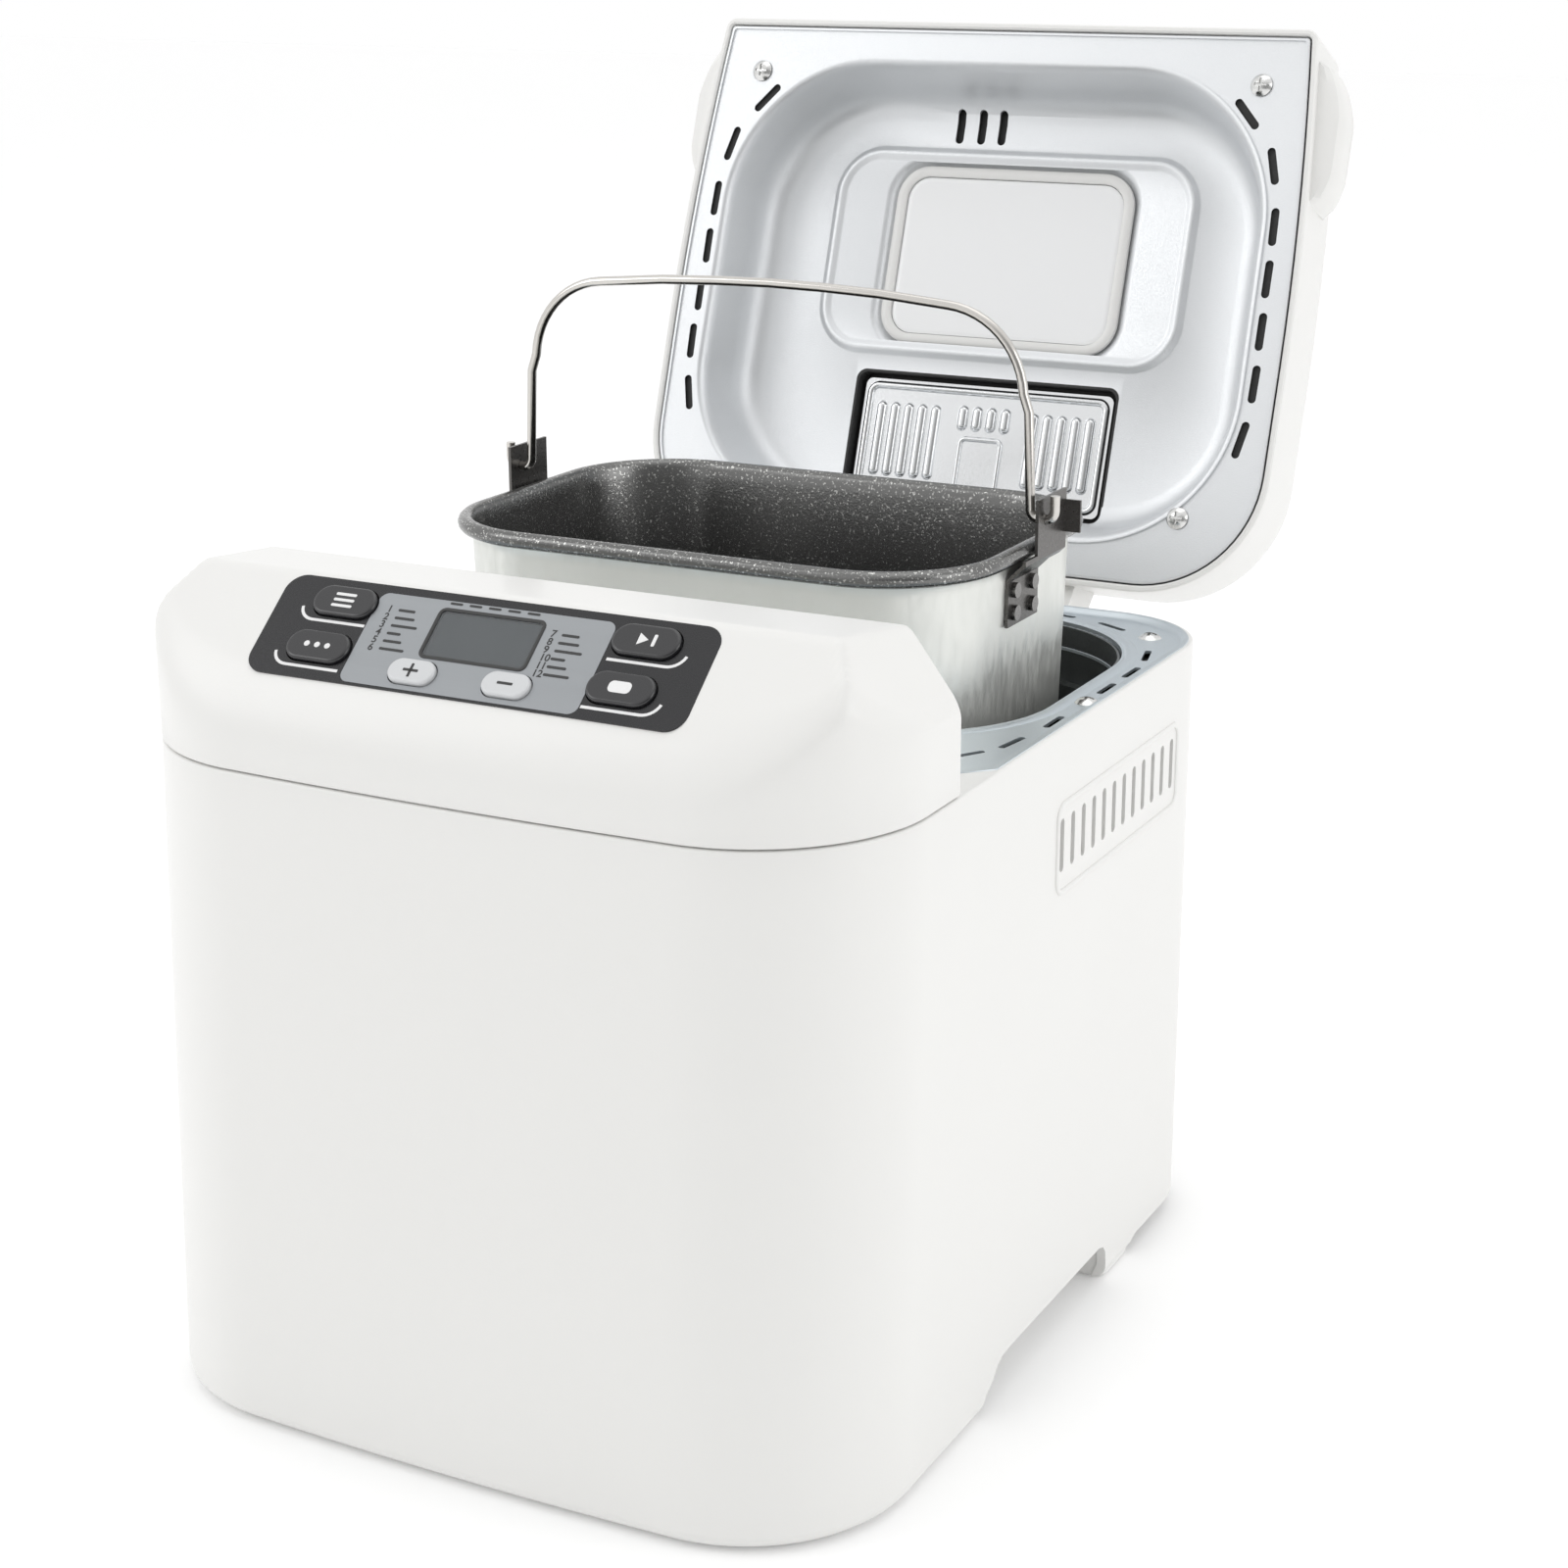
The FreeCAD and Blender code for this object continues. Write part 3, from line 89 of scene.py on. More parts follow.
def make_camera():
    data = bpy.data.cameras.new("camera")
    data.sensor_width, data.lens = 36.0, 65.518
    data.shift_x, data.shift_y = 0.00625, -0.0064
    data.clip_start, data.clip_end = 0.05, 20
    camera = bpy.data.objects.new("camera", data)
    bpy.context.scene.collection.objects.link(camera)
    az, el = math.radians(AZIMUTH), math.radians(ELEVATION)
    back = Vector((math.sin(az) * math.cos(el), -math.cos(az) * math.cos(el), math.sin(el)))
    camera.location = LAYOUT @ Vector(AIM) + back * DISTANCE * MM
    camera.rotation_mode = "QUATERNION"
    turn = (-back).to_track_quat("-Z", "Y")
    camera.rotation_quaternion = turn @ Matrix.Rotation(math.radians(-ROLL_ANGLE), 3, "Z").to_quaternion()
    bpy.context.scene.camera = camera


make_camera()


# ---- materials -------------------------------------------------------------------------------
def surface(name, color, rough, metallic=0.0, coat=0.0, grain=900.0, bump=0.02, vary=0.03,
            rough_vary=0.05, stretch=(1, 1, 1), speckle=None, transmission=0.0, ior=1.5):
    """A shader whose colour, roughness and height vary with noise fixed to the piece."""
    mat = bpy.data.materials.new(name)
    mat.use_nodes = True
    nodes, links = mat.node_tree.nodes, mat.node_tree.links
    shader = nodes["Principled BSDF"]
    shader.inputs["Metallic"].default_value = metallic
    shader.inputs["IOR"].default_value = ior
    shader.inputs["Coat Weight"].default_value = coat
    shader.inputs["Coat Roughness"].default_value = 0.12
    shader.inputs["Transmission Weight"].default_value = transmission
    place = nodes.new("ShaderNodeTexCoord")
    mapping = nodes.new("ShaderNodeMapping")
    mapping.inputs["Scale"].default_value = stretch
    links.new(place.outputs["Object"], mapping.inputs["Vector"])

    def noise(scale, detail):
        node = nodes.new("ShaderNodeTexNoise")
        node.inputs["Scale"].default_value = scale
        node.inputs["Detail"].default_value = detail
        links.new(mapping.outputs["Vector"], node.inputs["Vector"])
        return node.outputs["Fac"]

    def remap(value, low, high, start=0.3, end=0.7):
        node = nodes.new("ShaderNodeMapRange")
        node.inputs["From Min"].default_value, node.inputs["From Max"].default_value = start, end
        node.inputs["To Min"].default_value, node.inputs["To Max"].default_value = low, high
        links.new(value, node.inputs["Value"])
        return node.outputs["Result"]

    broad, fine = noise(14.0, 3.0), noise(grain, 3.0)
    mix = nodes.new("ShaderNodeMix")
    mix.data_type = "RGBA"
    mix.inputs["A"].default_value = (*[c * (1 - vary) for c in color], 1)
    mix.inputs["B"].default_value = (*[min(1.0, c * (1 + vary)) for c in color], 1)
    links.new(broad, mix.inputs["Factor"])
    tint = mix.outputs["Result"]
    if speckle:
        flecks = nodes.new("ShaderNodeMix")
        flecks.data_type = "RGBA"
        flecks.inputs["B"].default_value = (*speckle, 1)
        links.new(tint, flecks.inputs["A"])
        links.new(remap(noise(1300.0, 1.0), 0.0, 1.0, 0.6, 0.72), flecks.inputs["Factor"])
        tint = flecks.outputs["Result"]
    links.new(tint, shader.inputs["Base Color"])
    links.new(remap(fine, max(0.02, rough - rough_vary), rough + rough_vary), shader.inputs["Roughness"])
    height = nodes.new("ShaderNodeBump")
    height.inputs["Strength"].default_value = bump
    height.inputs["Distance"].default_value = 0.0005
    links.new(fine, height.inputs["Height"])
    links.new(height.outputs["Normal"], shader.inputs["Normal"])
    return mat


WHITE = surface("white_satin", (0.785, 0.782, 0.765), 0.34, coat=0.12, grain=1400, bump=0.05, vary=0.01)
BLACK = surface("panel_black", (0.012, 0.012, 0.014), 0.26, grain=2600, bump=0.12, vary=0.1)
SILVER = surface("panel_silver", (0.33, 0.345, 0.36), 0.38, metallic=0.7, grain=420, bump=0.05,
                 vary=0.1, stretch=(0.15, 6, 6))
KEY = surface("key_black", (0.018, 0.018, 0.02), 0.22, coat=0.4, grain=1800, bump=0.04, vary=0.1)
KEY_SILVER = surface("key_silver", (0.6, 0.61, 0.62), 0.44, metallic=0.1, coat=0.2, grain=700,
                     bump=0.005, rough_vary=0.03)
DISPLAY = surface("display", (0.13, 0.145, 0.15), 0.35, grain=300, bump=0.002, vary=0.04)
CLEAR = surface("clear_window", (0.5, 0.53, 0.55), 0.05, transmission=0.9, grain=300, bump=0.002,
                rough_vary=0.01)
PRINT_WHITE = surface("print_white", (0.8, 0.8, 0.8), 0.5, grain=3000, bump=0.05)
PRINT_BLACK = surface("print_black", (0.03, 0.03, 0.03), 0.5, grain=3000, bump=0.05, vary=0.1)
LINER = surface("aluminised_steel", (0.73, 0.745, 0.76), 0.45, metallic=0.79, grain=2200, bump=0.12,
                vary=0.035, rough_vary=0.08)
DECK = surface("deck_steel", (0.62, 0.675, 0.71), 0.36, metallic=0.85, grain=2200, bump=0.12, vary=0.04,
               rough_vary=0.08)
CHAMBER = surface("chamber_steel", (0.16, 0.17, 0.17), 0.42, metallic=0.8, grain=1200, bump=0.1,
                  vary=0.25, rough_vary=0.12)
STAMPED = surface("louvre_steel", (0.72, 0.73, 0.74), 0.16, metallic=1.0, grain=1600, bump=0.05,
                  rough_vary=0.05)
DARK_STEEL = surface("ear_steel", (0.13, 0.125, 0.12), 0.3, metallic=0.9, grain=900, bump=0.08, vary=0.3)
CHROME = surface("chrome_wire", (0.62, 0.6, 0.57), 0.14, metallic=1.0, grain=600, bump=0.02, vary=0.08,
                 rough_vary=0.04)
SCREW = surface("screw_steel", (0.7, 0.7, 0.69), 0.2, metallic=1.0, grain=1400, bump=0.06, vary=0.06)
PAN_OUT = surface("pan_aluminium", (0.8, 0.81, 0.775), 0.4, metallic=0.6, grain=420, bump=0.1,
                  vary=0.13, rough_vary=0.12, stretch=(1, 1, 0.35))
PAN_RIM = surface("pan_rim", (0.17, 0.17, 0.167), 0.2, metallic=0.85, grain=1500, bump=0.12, vary=0.2,
                  speckle=(0.6, 0.6, 0.58))
PAN_IN = surface("pan_nonstick", (0.018, 0.019, 0.02), 0.36, grain=1500, bump=0.12, vary=0.15,
                 speckle=(0.2, 0.2, 0.2))
FROST = surface("window_glass", (0.95, 0.955, 0.96), 0.16, transmission=0.05, grain=900, bump=0.01,
                vary=0.01, rough_vary=0.02)
# Black rubber for the belts and feet. The same dark material also makes the painted shade sheets under the deck's
# slots and behind the lid's slots.
RUBBER_AND_SHADE = surface("rubber", (0.03, 0.03, 0.03), 0.7, grain=1300, bump=0.2, vary=0.2)
ZINC = surface("zinc_steel", (0.5, 0.51, 0.52), 0.38, metallic=0.9, grain=160, bump=0.05, vary=0.12)
CAST = surface("cast_alloy", (0.5, 0.5, 0.49), 0.5, metallic=0.9, grain=900, bump=0.3, vary=0.08)
SHAFT_STEEL = surface("shaft_steel", (0.6, 0.6, 0.6), 0.2, metallic=1.0, grain=700, bump=0.03,
                      stretch=(1, 1, 8))
BRONZE = surface("bronze", (0.5, 0.33, 0.17), 0.4, metallic=0.9, grain=1500, bump=0.15, vary=0.1)
BOARD = surface("circuit_board", (0.03, 0.16, 0.07), 0.35, grain=500, bump=0.1, vary=0.2)
COMPONENT = surface("component_plastic", (0.05, 0.05, 0.055), 0.55, grain=1200, bump=0.15, vary=0.2)
CERAMIC = surface("insulator", (0.78, 0.75, 0.68), 0.7, grain=1500, bump=0.25, vary=0.06)
SHEATH = surface("element_sheath", (0.09, 0.085, 0.08), 0.5, metallic=0.6, grain=1100, bump=0.2, vary=0.3)
NONSTICK = surface("nonstick", (0.045, 0.045, 0.047), 0.36, grain=1300, bump=0.12, speckle=(0.2, 0.2, 0.2))
FAN = surface("fan_plastic", (0.7, 0.69, 0.64), 0.5, grain=1200, bump=0.08)

RIVET = surface("rivet_steel", (0.21, 0.205, 0.2), 0.26, metallic=1.0, grain=900, bump=0.05, vary=0.15)

NODE_MATERIALS = {
    "white_plastic": WHITE, "panel_black": BLACK, "panel_silver": SILVER, "clear_window": CLEAR,
    "display": DISPLAY, "circuit_board": BOARD, "component_plastic": COMPONENT, "key_black": KEY,
    "key_silver": KEY_SILVER, "screw_steel": SCREW, "aluminised_steel": DECK,
    "chamber_steel": CHAMBER, "element_sheath": SHEATH, "insulator": CERAMIC, "zinc_steel": ZINC,
    "cast_alloy": CAST, "bronze": BRONZE, "shaft_steel": SHAFT_STEEL, "belt_rubber": RUBBER_AND_SHADE,
    "foot_rubber": RUBBER_AND_SHADE, "fan_plastic": FAN, "window_glass": FROST, "louvre_steel": STAMPED,
    "pan_aluminium": DARK_STEEL, "chrome_wire": CHROME, "nonstick": NONSTICK}


def dress_nodes():
    """Gives every carried-over node the material of its record slot."""
    for part in frame["record"]["subparts"]:
        node = frame["nodes"][part["node"]]
        node.data.materials.clear()
        rivets = part["node"] == "ear_rivets"
        node.data.materials.append(RIVET if rivets else NODE_MATERIALS[part["material_slot"]])


# ---- mesh helpers ----------------------------------------------------------------------------
class Shape:
    """Vertices in millimetres and faces, each face with a material number."""

    def __init__(self):
        self.verts, self.faces, self.marks = [], [], []

    def add(self, verts, faces, mark=0):
        start = len(self.verts)
        self.verts += [tuple(v) for v in verts]
        self.faces += [tuple(start + i for i in face) for face in faces]
        self.marks += [mark] * len(faces)
        return self

    def loft(self, rings, first=True, last=True, marks=None):
        """Closed rings of equal length, skinned in order, and capped where asked."""
        count = len(rings[0])
        verts = [point for ring in rings for point in ring]
        for row in range(len(rings) - 1):
            low, high = row * count, (row + 1) * count
            faces = [(low + i, low + (i + 1) % count, high + (i + 1) % count, high + i)
                     for i in range(count)]
            if row == 0:
                start = len(self.verts)
                self.add(verts, faces, marks[row] if marks else 0)
            else:
                self.faces += [tuple(start + i for i in face) for face in faces]
                self.marks += [marks[row] if marks else 0] * len(faces)
        if first:
            self.faces.append(tuple(start + i for i in reversed(range(count))))
            self.marks.append(marks[0] if marks else 0)
        if last:
            end = start + (len(rings) - 1) * count
            self.faces.append(tuple(end + i for i in range(count)))
            self.marks.append(marks[-1] if marks else 0)
        return self

    def prism(self, outline, low, high, axis="z", mark=0):
        """An outline pushed along an axis. It holds the other two coordinates, in order."""
        order = {"x": lambda a, b, c: (c, a, b), "y": lambda a, b, c: (a, c, b),
                 "z": lambda a, b, c: (a, b, c)}[axis]
        rings = [[order(a, b, level) for a, b in outline] for level in (low, high)]
        return self.loft(rings, marks=[mark])

    def build(self, name, matrix, materials, smooth=32.0):
        mesh = bpy.data.meshes.new(name)
        mesh.from_pydata([matrix @ Vector(v) for v in self.verts], [], self.faces)
        for material in materials:
            mesh.materials.append(material)
        mesh.polygons.foreach_set("material_index", self.marks)
        work = bmesh.new()
        work.from_mesh(mesh)
        bmesh.ops.remove_doubles(work, verts=work.verts, dist=1e-7)
        bmesh.ops.recalc_face_normals(work, faces=work.faces)
        work.to_mesh(mesh)
        work.free()
        piece = bpy.data.objects.new(name, mesh)
        bpy.context.scene.collection.objects.link(piece)
        soften(piece, smooth)
        return piece


def soften(piece, angle=32.0):
    piece.data.polygons.foreach_set("use_smooth", [True] * len(piece.data.polygons))
    piece.data.set_sharp_from_angle(angle=math.radians(angle))
    piece.data.update()


def combine(piece, tool, operation="DIFFERENCE", angle=32.0):
    """Cuts tool from piece, or joins it, and removes tool."""
    modifier = piece.modifiers.new("combine", "BOOLEAN")
    modifier.operation, modifier.solver, modifier.object = operation, "EXACT", tool
    bpy.context.view_layer.update()
    graph = bpy.context.evaluated_depsgraph_get()
    mesh = bpy.data.meshes.new_from_object(piece.evaluated_get(graph))
    kept = list(piece.data.materials)
    piece.modifiers.clear()
    piece.data = mesh
    mesh.materials.clear()
    for material in kept:
        mesh.materials.append(material)
    bpy.data.objects.remove(tool)
    soften(piece, angle)


def absorb(piece, *others):
    """Joins other pieces' meshes to piece, as separate shells of one object."""
    work = bmesh.new()
    work.from_mesh(piece.data)
    for other in others:
        work.from_mesh(other.data)
    work.to_mesh(piece.data)
    work.free()
    for other in others:
        bpy.data.objects.remove(other)


def arc(cx, cy, radius, start, sweep, steps):
    return [(cx + radius * math.cos(math.radians(start + sweep * i / steps)),
             cy + radius * math.sin(math.radians(start + sweep * i / steps))) for i in range(steps + 1)]


def rounded(half_x, half_y, corner, x=0.0, y=0.0, steps=14):
    """A rounded rectangle as (x, y) points."""
    corner = min(corner, half_x - 1e-4, half_y - 1e-4)
    dx, dy = half_x - corner, half_y - corner
    return (arc(x + dx, y + dy, corner, 0, 90, steps) + arc(x - dx, y + dy, corner, 90, 90, steps)
            + arc(x - dx, y - dy, corner, 180, 90, steps) + arc(x + dx, y - dy, corner, 270, 90, steps))


def capsule(x, y, length, width, turn, steps=8):
    """A round-ended slot's outline, its length turned from the X direction."""
    points = rounded(length / 2, width / 2, width / 2, 0, 0, steps)
    c, s = math.cos(math.radians(turn)), math.sin(math.radians(turn))
    return [(x + a * c - b * s, y + a * s + b * c) for a, b in points]


def level(outline, z):
    return [(a, b, z) for a, b in outline]


def quarter(radius, steps):
    """(run, rise) pairs round a quarter circle, from the wall to the top."""
    return [(radius * (1 - math.cos(math.pi / 2 * i / steps)), radius * math.sin(math.pi / 2 * i / steps))
            for i in range(steps + 1)]


def finish_piece(piece, body, slot, *replaced):
    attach(piece, body)
    if replaced:
        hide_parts(*replaced)
    return piece


# ---- body casing -----------------------------------------------------------------------------
BOW_STEPS = 14
BODY_LEVELS = (20, 60, 100, 145, 182)
HOLLOW_TOP = 195
LUG_PLACES, LUG_HALF, LUG_EYE = (-58.1, -39.9, 39.9, 58.1), 2.8, 5.6


def body_outline(inset, z):
    """The casing's plan at a height: a bowed, leaning front and four rounded corners."""
    lean = FRONT_LEAN * (SEAM - z) / SEAM
    half, front, rear = HALF - inset, FRONT - lean + inset, REAR - inset
    big, small = FRONT_CORNER - inset, REAR_CORNER - inset
    ends = front + FRONT_BOW
    flat = half - big
    stations = [-flat + 2 * flat * i / BOW_STEPS for i in range(BOW_STEPS + 1)]
    bow = [(x, front + FRONT_BOW * (x / flat) ** 2) for x in stations]
    right = arc(half - big, ends + big, big, -90, 90, 20)
    rear_right = arc(half - small, rear - small, small, 0, 90, 14)
    rear_left = arc(-(half - small), rear - small, small, 90, 90, 14)
    left = arc(-(half - big), ends + big, big, 180, 90, 20)
    return bow[:-1] + right + rear_right + rear_left + left[:-1]


VENT_Y, VENT_Z, VENT_HEIGHT, VENT_WIDTH, VENT_PITCH, VENTS = -44.4, 164.3, 16.5, 3.0, 8.3, 12


def deck_outline(inset, front):
    """The body's plan behind a straight front edge."""
    edge = HALF - inset
    return [(edge, front)] + [p for p in body_outline(inset, SEAM) if p[1] > 30] + [(-edge, front)]


def body_casing():
    """The white casing: hollow, with the deck's pocket, vents, arches, baffles and hinge lugs."""
    rings = []
    for _, rise in quarter(FOOT_ROUND, 6):
        inset = FOOT_ROUND - math.sqrt(max(0, FOOT_ROUND ** 2 - (FOOT_ROUND - rise) ** 2))
        rings.append(level(body_outline(inset, SKIRT + rise), SKIRT + rise))
    for z in BODY_LEVELS:
        rings.append(level(body_outline(0, z), z))
    for run, rise in quarter(SEAM_ROUND, 3):
        z = SEAM - SEAM_ROUND + rise
        rings.append(level(body_outline(run, z), z))
    casing = Shape().loft(rings).build("body_casing", LAYOUT, [WHITE])
    hollow = Shape().loft([level(body_outline(FOOT_ROUND + 0.5 if z < 1 else WALL, z), z)
                           for z in (0, 6, HOLLOW_TOP)])
    combine(casing, hollow.build("tool", LAYOUT, [WHITE]))
    pocket = deck_plan(DECK_RIM, DECK_FRONT)
    combine(casing, Shape().prism(pocket, DECK_Z - 3.6, SEAM + 5).build("tool", LAYOUT, [WHITE]))
    mouth = rounded(MOUTH[0] + 1, MOUTH[1] + 0.5, MOUTH[2], 0, MOUTH[3])
    combine(casing, Shape().prism(mouth, 190, SEAM + 5).build("tool", LAYOUT, [WHITE]))
    vents = Shape()
    for side in (-1, 1):
        for number in range(VENTS):
            outline = capsule(VENT_Y + VENT_PITCH * number, VENT_Z, VENT_HEIGHT, VENT_WIDTH, 90)
            vents.prism(outline, side * (HALF + 5), side * (HALF - 8), "x")
    combine(casing, vents.build("tool", LAYOUT, [WHITE]))
    arch = [(-94.5, -5), (-94.3, 2.5)] + arc(-88.5, 2.5, 5.8, 180, -60, 5)[1:] \
        + [(-87.4, 9.6), (-84.5, 12.8), (-80.5, 14.6), (-74, 15), (-3, 15), (0.5, 14), (2.6, 11.5),
           (3.2, 8), (3.4, -5)]
    rear = [(26.6, -5), (26.8, 3), (28, 5.2), (31, 6), (130, 6), (130, -5)]
    for outline in (arch, rear):
        combine(casing, Shape().prism(outline, -140, 140, "x").build("tool", LAYOUT, [WHITE]))
    extras = Shape()
    for side in (-1, 1):
        frame_bead(extras, side)
        extras.prism([(-50, 152), (56, 152), (56, 177), (-50, 177)], side * (HALF - 4.2),
                     side * (HALF - 5.0), "x")
    for x in LUG_PLACES:
        y, z = (HINGE.y - SHAFT_Y) / MM, HINGE.z / MM
        lug = [(REAR - 2, z - 16), (REAR + 3, z - 16)] + arc(y, z, LUG_EYE, -70, 160, 12) \
            + [(REAR - 2, z + LUG_EYE)]
        extras.prism(lug, x - LUG_HALF, x + LUG_HALF, "x")
    absorb(casing, extras.build("extras", LAYOUT, [WHITE]))
    return finish_piece(casing, "root", "white_plastic", "body_shell", "hinge_lugs")


def sweep_closed(shape, path, section):
    """A closed section, as (across, out) pairs, carried round a closed path of (point, across, out)."""
    rings = [[Vector(p) + a * s + o * t for s, t in section] for p, a, o in path]
    count, size = len(rings), len(section)
    verts = [tuple(v) for ring in rings for v in ring]
    faces = [(i * size + j, i * size + (j + 1) % size, ((i + 1) % count) * size + (j + 1) % size,
              ((i + 1) % count) * size + j) for i in range(count) for j in range(size)]
    return shape.add(verts, faces)


def offset_path(outline, place, out):
    """Points of an outline with their outward directions in the outline's plane."""
    path, count = [], len(outline)
    for i, (a, b) in enumerate(outline):
        before, after = outline[i - 1], outline[(i + 1) % count]
        along = Vector((after[0] - before[0], after[1] - before[1])).normalized()
        path.append((place(a, b), Vector(place(a + along.y, b - along.x)) - Vector(place(a, b)), out))
    return path


def bead(width, height, steps=6):
    return [(width * math.cos(math.pi * i / steps), height * math.sin(math.pi * i / steps))
            for i in range(steps + 1)] + [(-width, -0.4), (width, -0.4)]


def frame_bead(shape, side):
    """The raised line round the side vents."""
    middle = VENT_Y + VENT_PITCH * (VENTS - 1) / 2
    outline = rounded(50.0, 13.7, 4.5, middle + 0.6, 163.3, 6)
    path = offset_path(outline, lambda a, b: (side * HALF, a, b), Vector((side, 0, 0)))
    sweep_closed(shape, path, bead(0.9, 0.7))


FOOT_X, FOOT_Y, FOOT_BLOCK, FOOT_BLEND = 111.2, 15.2, (8.2, 11.4, 3.5), 3.0


def foot_ring(side, shrink, z):
    half_x, half_y, corner = FOOT_BLOCK
    return level(rounded(half_x - shrink, half_y - shrink, corner, side * FOOT_X, FOOT_Y, 6), z)


def rear_feet():
    """The two moulded blocks behind the side arches, with their dark ends."""
    for side in (-1, 1):
        shape = Shape()
        rings = []
        for _, rise in reversed(quarter(FOOT_BLEND, 4)):
            shrink = FOOT_BLEND - math.sqrt(max(0.0, FOOT_BLEND ** 2 - rise ** 2))
            rings.append(foot_ring(side, shrink, FOOT_BLEND - rise))
        rings += [foot_ring(side, 0.0, z) for z in (8.0, 14.5)]
        shape.loft(rings)
        hand = "left" if side < 0 else "right"
        block = shape.build("rear_foot_" + hand, LAYOUT, [WHITE])
        finish_piece(block, "root", "white_plastic")
        cap = Shape().prism(rounded(6.0, 4.6, 2.5, side * FOOT_X, 6.4, 6), 26.4, 27.3, "y")
        cap = cap.build("rear_foot_end_" + hand, LAYOUT, [RUBBER_AND_SHADE])
        finish_piece(cap, "root", "foot_rubber")


# ---- control housing -------------------------------------------------------------------------
def soft_min(values, blend):
    """The lowest of several heights, rounded where two of them cross."""
    low = min(values)
    return low - blend * math.log(sum(math.exp(-(v - low) / blend) for v in values))


def fall(distance, radius):
    """How far a rounded edge has dropped at a distance inside it."""
    if distance >= radius:
        return 0.0
    return radius - math.sqrt(max(0.0, radius ** 2 - (radius - max(0.0, distance)) ** 2))


def front_y(x):
    """The housing's front edge in plan."""
    flat = HALF - FRONT_CORNER
    ends = FRONT + FRONT_BOW
    if abs(x) <= flat:
        return FRONT + FRONT_BOW * (x / flat) ** 2
    return ends + FRONT_CORNER - math.sqrt(max(0.0, FRONT_CORNER ** 2 - (abs(x) - flat) ** 2))


def edge_distance(x, y):
    """How far a point lies inside the housing's front and sides."""
    flat, ends = HALF - FRONT_CORNER, FRONT + FRONT_BOW
    if abs(x) > flat and y < ends + FRONT_CORNER:
        return FRONT_CORNER - math.hypot(abs(x) - flat, y - ends - FRONT_CORNER)
    if abs(x) <= flat:
        return min(y - front_y(x), HALF - abs(x))
    return HALF - abs(x)


def facing(x, y):
    """One where the nearest wall faces the front, and none where it faces the side."""
    flat, centre = HALF - FRONT_CORNER, FRONT + FRONT_BOW + FRONT_CORNER
    if abs(x) <= flat:
        return 1.0 if y < centre else 0.0
    if y >= centre:
        return 0.0
    return (centre - y) / max(1e-6, math.hypot(abs(x) - flat, centre - y))


def housing_height(x, y):
    """The top surface: panel slope, crest and side chamfers blended, and rounded down at the edges."""
    slope = PANEL_Z + (y - PANEL_Y) * math.tan(PANEL_TILT)
    crest_y = PANEL_Y + (CREST_TOP - PANEL_Z) / math.tan(PANEL_TILT)
    top = CREST_TOP + (REAR_TOP - CREST_TOP) * (y - crest_y) / (HOUSING_REAR - crest_y)
    side = CHAMFER_Z + (HALF - abs(x)) * CHAMFER_SLOPE
    height = soft_min([soft_min([slope, top], 0.4), side], 0.6)
    inner = edge_distance(x, y)
    radius = 2.5 + (FRONT_ROUND - 2.5) * facing(x, y) ** 2
    return height - fall(inner, radius) - fall(HOUSING_REAR - y, REAR_ROUND)


def housing_casing():
    """The control housing's skin: a grid of heights over its plan, a wall, and the panel's window."""
    columns, rows = 128, 52
    grid = []
    for i in range(columns + 1):
        x = HALF * math.sin(math.pi * (i / columns - 0.5))
        x = max(-HALF + 1e-4, min(HALF - 1e-4, x))
        near = front_y(x)
        line = []
        for j in range(rows + 1):
            crowded = 0.5 - 0.5 * math.cos(math.pi * j / rows)
            share = 0.55 * crowded + 0.45 * j / rows
            y = near + (HOUSING_REAR - near) * share
            line.append((x, y, housing_height(x, y)))
        grid.append(line)
    shape = Shape()
    width = rows + 1
    verts = [point for line in grid for point in line]
    faces = [(i * width + j, (i + 1) * width + j, (i + 1) * width + j + 1, i * width + j + 1)
             for i in range(columns) for j in range(rows)]
    rim = [i * width for i in range(columns + 1)] + [columns * width + j for j in range(1, width)] \
        + [i * width + rows for i in reversed(range(columns))] + [j for j in reversed(range(1, rows))]
    lower = SEAM + 0.45
    start = len(verts)
    for inset, z in ((0.0, lower + SEAM_ROUND), (0.25, lower + 0.3), (SEAM_ROUND, lower)):
        for k in rim:
            x, y, _ = verts[k]
            verts.append((x * (1 - inset / HALF), y + (inset if y < -150 else 0.0), z))
    size = len(rim)
    for ring in range(3):
        above = rim if ring == 0 else [start + (ring - 1) * size + k for k in range(size)]
        below = [start + ring * size + k for k in range(size)]
        faces += [(above[k], above[(k + 1) % size], below[(k + 1) % size], below[k]) for k in range(size)]
    faces.append(tuple(start + 2 * size + k for k in range(size)))
    casing = shape.add(verts, faces).build("housing_casing", LAYOUT, [WHITE], 40)
    window = Shape().prism(rounded(68.3, 15.6, 5.5), -9, 6).build("tool", PANEL, [WHITE])
    combine(casing, window, angle=40)
    return finish_piece(casing, "root", "white_plastic", "control_housing")


# ---- panel print -----------------------------------------------------------------------------
WIDE_KEYS = {"upper_left": (-47.6, 9.0), "lower_left": (-48.7, -6.5), "upper_right": (48.7, 9.2),
             "lower_right": (47.7, -6.4)}
OVAL_KEYS = {"plus": (-15.9, -10.3), "minus": (14.1, -10.2)}
KEY_TOP, SIGN_SUNK, SIGN_PROUD = 1.52, 0.1, 0.06


